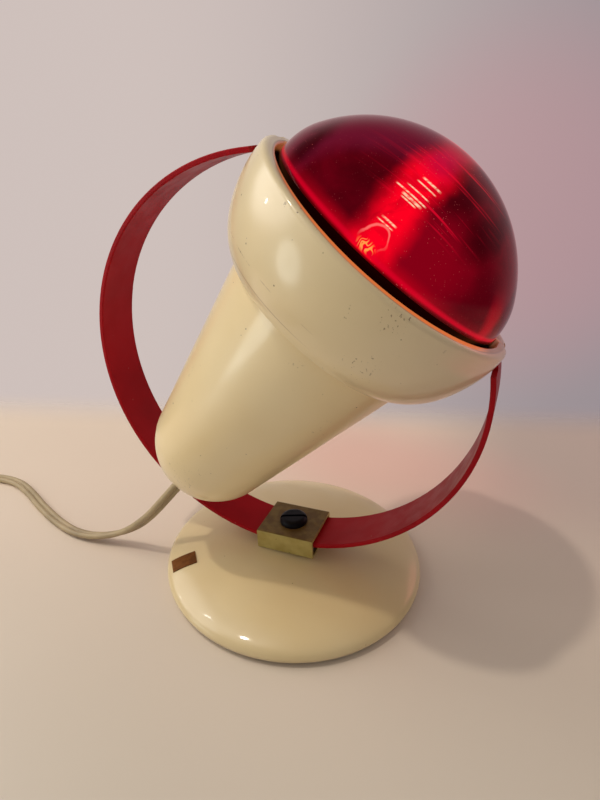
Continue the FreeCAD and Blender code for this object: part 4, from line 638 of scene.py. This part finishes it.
# ---------------------------------------------------------------- material slots
FINISHES = [
    aged_enamel("foot_enamel", FOOT_CREAM, 0.0, 0.7),
    aged_enamel("housing_cream", CREAM, 0.5),
    collar_cream(),
    red_paint(),
    aged_brass(),
    metal("badge_bronze", (0.19, 0.062, 0.008), 0.5, 0.7),
    metal("screw_black", (0.005, 0.005, 0.009), 0.45, 0.6, (0.012, 0.012, 0.017)),
    metal("steel", (0.56, 0.56, 0.57), 0.28),
    plain("iron", (0.10, 0.10, 0.105), 0.7, 500.0, 0.0002),
    plain("pad_rubber", (0.025, 0.025, 0.025), 0.8),
    plain("slide_plastic", (0.03, 0.026, 0.022), 0.45),
    red_glass(),
    mirror_glass(),
    plain("clear_glass", (0.9, 0.95, 0.95), 0.03, transmission_weight=1.0, ior=1.5),
    metal("cap_metal", (0.62, 0.61, 0.57), 0.3),
    plain("black_glass", (0.012, 0.012, 0.018), 0.08),
    metal("contact_brass", (0.70, 0.52, 0.20), 0.25),
    glowing("tungsten", (1.0, 0.42, 0.14), 60.0),
    plain("porcelain", (0.80, 0.79, 0.74), 0.18, coat_weight=0.6, coat_roughness=0.05),
    plain("cord_beige", (0.45, 0.345, 0.20), 0.45, grain=1400.0, second=(0.33, 0.25, 0.145)),
    plain("core_blue_brown", (0.10, 0.04, 0.02), 0.4),
    plain("plug_beige", (0.46, 0.36, 0.22), 0.35),
    metal("pin_brass", (0.75, 0.62, 0.34), 0.2),
    plain("grommet", (0.03, 0.027, 0.024), 0.55),
]
MATERIALS = {finish.name: finish.material for finish in FINISHES}


def dress_cad_nodes():
    for subpart in frame["record"]["subparts"]:
        node = frame["nodes"][subpart["node"]]
        node.data.materials.clear()
        node.data.materials.append(MATERIALS[subpart["material_slot"]])


# ---------------------------------------------------------------- camera
CAMERA_PLACE = Vector((0.07863, -0.20045, 0.200))
CAMERA_YAW = -0.36995         # radians, to the left of +Y
CAMERA_PITCH = 0.47757        # downwards
CAMERA_ROLL = -0.02482
CAMERA_LENS = 26.134          # millimetres, as the sensor's long side
CAMERA_SENSOR = 36.0
CAMERA_NEAREST = 0.01
CAMERA_FARTHEST = 20.0


def make_camera():
    ahead = Vector((
        math.sin(CAMERA_YAW) * math.cos(CAMERA_PITCH),
        math.cos(CAMERA_YAW) * math.cos(CAMERA_PITCH),
        -math.sin(CAMERA_PITCH),
    ))
    level = Vector((math.cos(CAMERA_YAW), -math.sin(CAMERA_YAW), 0))
    down = ahead.cross(level)
    right = level * math.cos(CAMERA_ROLL) + down * math.sin(CAMERA_ROLL)
    below = down * math.cos(CAMERA_ROLL) - level * math.sin(CAMERA_ROLL)
    turn = Matrix((right, -below, -ahead)).transposed().to_4x4()
    data = bpy.data.cameras.new("camera")
    data.sensor_width = CAMERA_SENSOR
    data.lens = CAMERA_LENS
    data.clip_start = CAMERA_NEAREST
    data.clip_end = CAMERA_FARTHEST
    camera = bpy.data.objects.new("camera", data)
    camera.matrix_world = Matrix.Translation(CAMERA_PLACE) @ turn
    bpy.context.scene.collection.objects.link(camera)
    bpy.context.scene.camera = camera


# ---------------------------------------------------------------- table and room
FLOOR_COLOUR = (0.82, 0.68, 0.56)
FLOOR_PAINTED_SHADOW = (0.50, 0.40, 0.365)  # painted shadow behind the lamp, away from the window
FLOOR_NEAR = (0.63, 0.56, 0.475)      # on the camera's side
FLOOR_RED_LIGHT = (0.84, 0.42, 0.37)       # painted pool of the bulb's red light
RED_LIGHT_AT = (0.015, 0.10)
RED_LIGHT_SIZE = (0.075, 0.045)
FLOOR_BACK = (-0.3616, 0.9323, 0.0)   # towards the wall
FLOOR_END = 0.125             # from the lamp to where the floor turns into the wall
FLOOR_END_WIDTH = 0.05
FLOOR_CLEAR_FROM = 0.40       # the floor's edge fades away from here on
FLOOR_RADIUS = 0.66
FLOOR_RINGS = (0.2, 0.4, FLOOR_RADIUS)
FLOOR_SPOKES = 96
WALL_LEFT = (0.62, 0.53, 0.50)
WALL_RIGHT = (0.33, 0.28, 0.30)
WALL_GLOW = (0.58, 0.29, 0.31)        # painted pool of the bulb's red light on the wall
WALL_GLOW_AT = (-0.0300, 0.9890, -0.1450)     # its direction
WALL_GLOW_EDGES = (0.95, 0.9995)      # cosines of the angles at which it starts and is full
WALL_GLOW_SHARE = 0.42
ROOM_SHEEN = (0.045, 0.038, 0.036)    # what gloss reflects on the camera's side of the room
ROOM_LIGHT = (1.0, 0.95, 0.90)
ROOM_LIGHT_STRENGTH = 0.40


def floor_finish():
    m = Finish("floor", FLOOR_COLOUR, 0.35)
    paler = tuple(value * 0.97 for value in FLOOR_COLOUR)
    base = m.mixed(m.band(m.noise(6.0, 2.0), 0.3, 0.7), FLOOR_COLOUR, paler)
    x, y, _ = m.parts(m.coordinates)
    backwards = m.measure("DOT_PRODUCT", m.coordinates, FLOOR_BACK)
    # painted shadow of the lamp on the floor behind it
    painted_shadow = m.times(m.band(x, 0.01, 0.10), m.band(y, -0.01, 0.12))
    base = m.mixed(m.times(painted_shadow, 0.85), base, FLOOR_PAINTED_SHADOW)
    # painted pool of the bulb's red light on the floor
    base = m.mixed(m.times(m.spot(x, y, RED_LIGHT_AT, RED_LIGHT_SIZE, 0.8), 0.5), base, FLOOR_RED_LIGHT)
    m.drive(m.mixed(m.fade(backwards, -0.16, 0.10), base, FLOOR_NEAR), "Base Color")
    clear = m.calc(
        "MAXIMUM",
        m.band(m.measure("LENGTH", m.coordinates), FLOOR_CLEAR_FROM, FLOOR_RADIUS * 0.98),
        m.band(backwards, FLOOR_END, FLOOR_END + FLOOR_END_WIDTH),
    )
    surface = m.mixed_shader(clear, m.shader.outputs[0], m.add("BsdfTransparent").outputs[0])
    m.join(surface, m.tree.nodes["Material Output"].inputs["Surface"])
    return m


def make_floor():
    """A round table top that fades away at its edge and where the wall stands."""
    turns = [math.tau * k / FLOOR_SPOKES for k in range(FLOOR_SPOKES)]
    points = [(0, 0, 0)]
    for radius in FLOOR_RINGS:
        points += [(radius * math.cos(turn), radius * math.sin(turn), 0) for turn in turns]
    faces = [(0, 1 + k, 1 + (k + 1) % FLOOR_SPOKES) for k in range(FLOOR_SPOKES)]
    for ring in range(len(FLOOR_RINGS) - 1):
        start = 1 + ring * FLOOR_SPOKES
        for k in range(FLOOR_SPOKES):
            a = start + k
            b = start + (k + 1) % FLOOR_SPOKES
            faces.append((a, a + FLOOR_SPOKES, b + FLOOR_SPOKES, b))
    mesh_object("floor", points, faces, floor_finish().material)


def make_world():
    """Even warm light. The camera sees a pale wall, and gloss sees that wall low on the far side only."""
    world = bpy.data.worlds.new("world")
    bpy.context.scene.world = world
    world.use_nodes = True
    m = Nodes(world.node_tree)
    direction = m.add("TexCoord").outputs["Generated"]
    x, y, z = m.parts(direction)
    wall = m.mixed(m.band(x, -0.62, 0.18), WALL_LEFT, WALL_RIGHT)
    # painted red light of the bulb on the wall
    glow = m.band(m.measure("DOT_PRODUCT", direction, WALL_GLOW_AT), *WALL_GLOW_EDGES, 0.0, WALL_GLOW_SHARE)
    wall = m.mixed(glow, wall, WALL_GLOW)
    low_wall = m.times(m.band(y, 0.35, 0.85), m.band(z, 0.85, 0.35))
    sheen = m.mixed(low_wall, ROOM_SHEEN, wall)
    rays = m.add("LightPath").outputs
    shown = m.add("Background")
    m.join(m.mixed(rays["Is Glossy Ray"], wall, sheen), shown.inputs["Color"])
    light = m.tree.nodes["Background"]
    m.feed(light.inputs["Color"], ROOM_LIGHT)
    m.feed(light.inputs["Strength"], ROOM_LIGHT_STRENGTH)
    seen = m.calc("MAXIMUM", rays["Is Camera Ray"], rays["Is Glossy Ray"])
    seen = m.calc("MAXIMUM", seen, rays["Is Transmission Ray"])
    surface = m.mixed_shader(seen, light.outputs[0], shown.outputs[0])
    m.join(surface, m.tree.nodes["World Output"].inputs["Surface"])


# ---------------------------------------------------------------- lights
LIGHT_TARGET = Vector((0, 0, 0.13))   # the point that every light faces
SHADED_LIGHTS = [             # name, azimuth, elevation, distance, width, height, power, colour, faded
    ("left_soft", -100, 32, 1.0, 1.3, 1.1, 11.0, (1.0, 0.95, 0.88), True),
    ("window", -130, -3, 1.5, 0.72, 0.92, 8.0, (0.95, 1.0, 0.92), True),
    ("ceiling", -124, 68, 1.5, 0.06, 0.06, 5.5, (1.0, 0.92, 0.80), False),
    ("lamp_high", -95.5, 52, 1.5, 0.05, 0.12, 0.3, (1.0, 0.96, 0.9), False),
    ("lamp_side", -126, 44, 1.5, 0.14, 0.03, 0.08, (1.0, 0.96, 0.9), False),
    ("glow_back", 42, 14, 0.6, 0.4, 0.3, 0.5, (1.0, 0.28, 0.25), True),
]
DOME_LIGHT = ("lamp_low", -97, 21, 1.5, 0.04, 0.08, 0.3, (1.0, 0.93, 0.8), False)


def area_light(name, azimuth, elevation, distance, width, height, power, colour, faded):
    """A light that faces the lamp; azimuth from +Y towards +X, in degrees."""
    turn = math.radians(azimuth)
    rise = math.radians(elevation)
    towards = Vector((math.sin(turn) * math.cos(rise), math.cos(turn) * math.cos(rise), math.sin(rise)))
    data = bpy.data.lights.new(name, "AREA")
    data.shape = "RECTANGLE"
    data.size = width
    data.size_y = height
    data.energy = power
    data.color = colour
    if faded:
        fade_to_edges(data)
    light = bpy.data.objects.new(name, data)
    light.location = LIGHT_TARGET + towards * distance
    light.rotation_euler = (-towards).to_track_quat("-Z", "Y").to_euler()
    bpy.context.scene.collection.objects.link(light)
    return light


def fade_to_edges(data):
    """The light is bright in its middle, and dark at its edges."""
    data.use_nodes = True
    m = Nodes(data.node_tree)
    place = m.add("NewGeometry").outputs["Parametric"]
    away = m.measure("DISTANCE", place, (0.5, 0.5, 0.0))
    m.join(m.fade(away, 0.25, 0.5), m.tree.nodes["Emission"].inputs["Strength"])


def leave_out(light, piece):
    """This light doesn't reach the piece, as if a shade stood between them."""
    group = bpy.data.collections.new("out_of_" + light.name)
    group.objects.link(piece)
    light.light_linking.receiver_collection = group
    group.collection_objects[0].light_linking.link_state = "EXCLUDE"


def make_lights():
    """The shaded lights don't reach the bulb's dome, where they would stand out as bright shapes."""
    for settings in SHADED_LIGHTS:
        leave_out(area_light(*settings), frame["nodes"]["bulb_front_glass"])
    area_light(*DOME_LIGHT)


# ---------------------------------------------------------------- cord
def twin_section():
    """The outline of twin flex: two round sheaths joined by a thin web."""
    radius = CORD_THICKNESS / 2
    centre = CORD_WIDTH / 2 - radius
    steps = 11
    open_turn = math.radians(152)     # from the middle of each sheath's outer side to the web
    half_web = radius * 0.40
    outline = []
    for side in (1, -1):
        for step in range(steps):
            turn = -open_turn + 2 * open_turn * step / (steps - 1)
            outline.append((side * (centre + radius * math.cos(turn)), side * radius * math.sin(turn)))
        outline.append((0.0, side * half_web))
    return outline


def coil_points():
    """Two layers of turns: in along the lower one from the west, and out along the upper one to the south."""
    points = []
    grow = 1 / math.cos(math.pi / COIL_POINTS)
    lanes = [COIL_INNER_TURN + COIL_TURN_SPACING * lane for lane in range(COIL_TURNS)]

    def lay_point(radius, start_turn, step, height):
        turn = start_turn + math.tau * step / COIL_POINTS
        at = radius * grow
        points.append((COIL_CENTRE[0] + at * math.cos(turn), COIL_CENTRE[1] + at * math.sin(turn), height))

    def lay_turns(lane_radii, start_turn, height):
        """One turn in each lane from a starting angle, each ending with a step to the next lane."""
        for number, radius in enumerate(lane_radii):
            following = lane_radii[min(number + 1, len(lane_radii) - 1)]
            for step in range(COIL_POINTS):
                change = max(0.0, (step - COIL_POINTS + COIL_CHANGE) / COIL_CHANGE)
                lay_point(radius + (following - radius) * change, start_turn, step, height)

    def climb(low, high):
        """The quarter turn that rises from the lower layer, and then moves out towards the next lane."""
        steps = COIL_POINTS // 4
        outward_from = 0.4
        first_rise = 0.2
        rise_rate = 1.4
        for step in range(steps):
            share = step / steps
            radius = lanes[0] + COIL_TURN_SPACING * max(0.0, share - outward_from)
            rise = min(1.0, first_rise + share * rise_rate)
            lay_point(radius, math.pi, step, low + (high - low) * rise)

    low = CORD_THICKNESS / MM / 2 + COIL_TABLE_GAP
    high = low + COIL_LAYER
    lay_turns(lanes[::-1], math.pi, low)
    climb(low, high)
    lay_turns(lanes[1:], math.pi * 1.5, high)
    return points


def trapezoid(rise, top_start, top_end, fall):
    """A smooth share that is 1 from top_start to top_end, and 0 up to rise and from fall on."""
    def share(distance):
        if distance < top_end:
            return smooth((distance - rise) / (top_start - rise))
        return smooth((fall - distance) / (fall - top_end))
    return share


def bending_zone(line, along, zone, joint):
    """Where the cord bends at a joint: its blend's two ends, and the lean that keeps its thickness.

    Its rings lean half way to the joint's motion, so the cord doesn't thin out when the joint moves.
    """
    near, far = zone
    place = line[next(index for index, distance in enumerate(along) if distance >= far)]
    ahead = (line[1] - line[0]).normalized()
    motion = Vector(joint["axis"]).cross(place - Vector(joint["pos_m"]))
    motion = (motion - ahead * motion.dot(ahead)).normalized()
    towards = (motion - ahead).normalized()
    return place, place + towards * (far - near) * -ahead.dot(towards), motion


def make_cord():
    route = CORD_ROUTE + coil_points() + PLUG_LEAD
    line = refined(nurbs_line([Vector(point) * MM for point in route]), CORD_FINE_END, CORD_FINE_STEP)
    along = lengths_along(line)
    section = twin_section()
    split = next(index for index, distance in enumerate(along) if distance > CORD_SPLIT)

    def twist(distance):
        return EXIT_TWIST * smooth((FLAT_FROM - distance) / FLAT_FROM)

    head_start, head_stop, head_lean = bending_zone(line, along, HEAD_ZONE, JOINTS["head_tilt"])
    bow_start, bow_stop, bow_lean = bending_zone(line, along, BOW_ZONE, JOINTS["bow_slide"])
    slants = (
        (head_lean, trapezoid(0.0, HEAD_ZONE[0], HEAD_ZONE[1], BOW_ZONE[0])),
        (bow_lean, trapezoid(HEAD_ZONE[1], BOW_ZONE[0], BOW_ZONE[1], LEAN_END)),
    )
    beige = MATERIALS["cord_beige"]
    head_end = sweep("cord_head_end", line[:split + 1], section, twist, slants, 0.0, beige)
    flex = sweep("mains_flex", line[split:], section, twist, slants, along[split], beige)
    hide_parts("mains_cord", "mains_cord_coil", "plug_lead")
    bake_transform(head_end)
    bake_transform(flex)


# ---------------------------------------------------------------- build
def main():
    scene = bpy.context.scene
    scene.view_settings.view_transform = "Standard"
    make_camera()
    make_cord()
    make_floor()
    make_world()
    make_lights()
    dress_cad_nodes()


main()
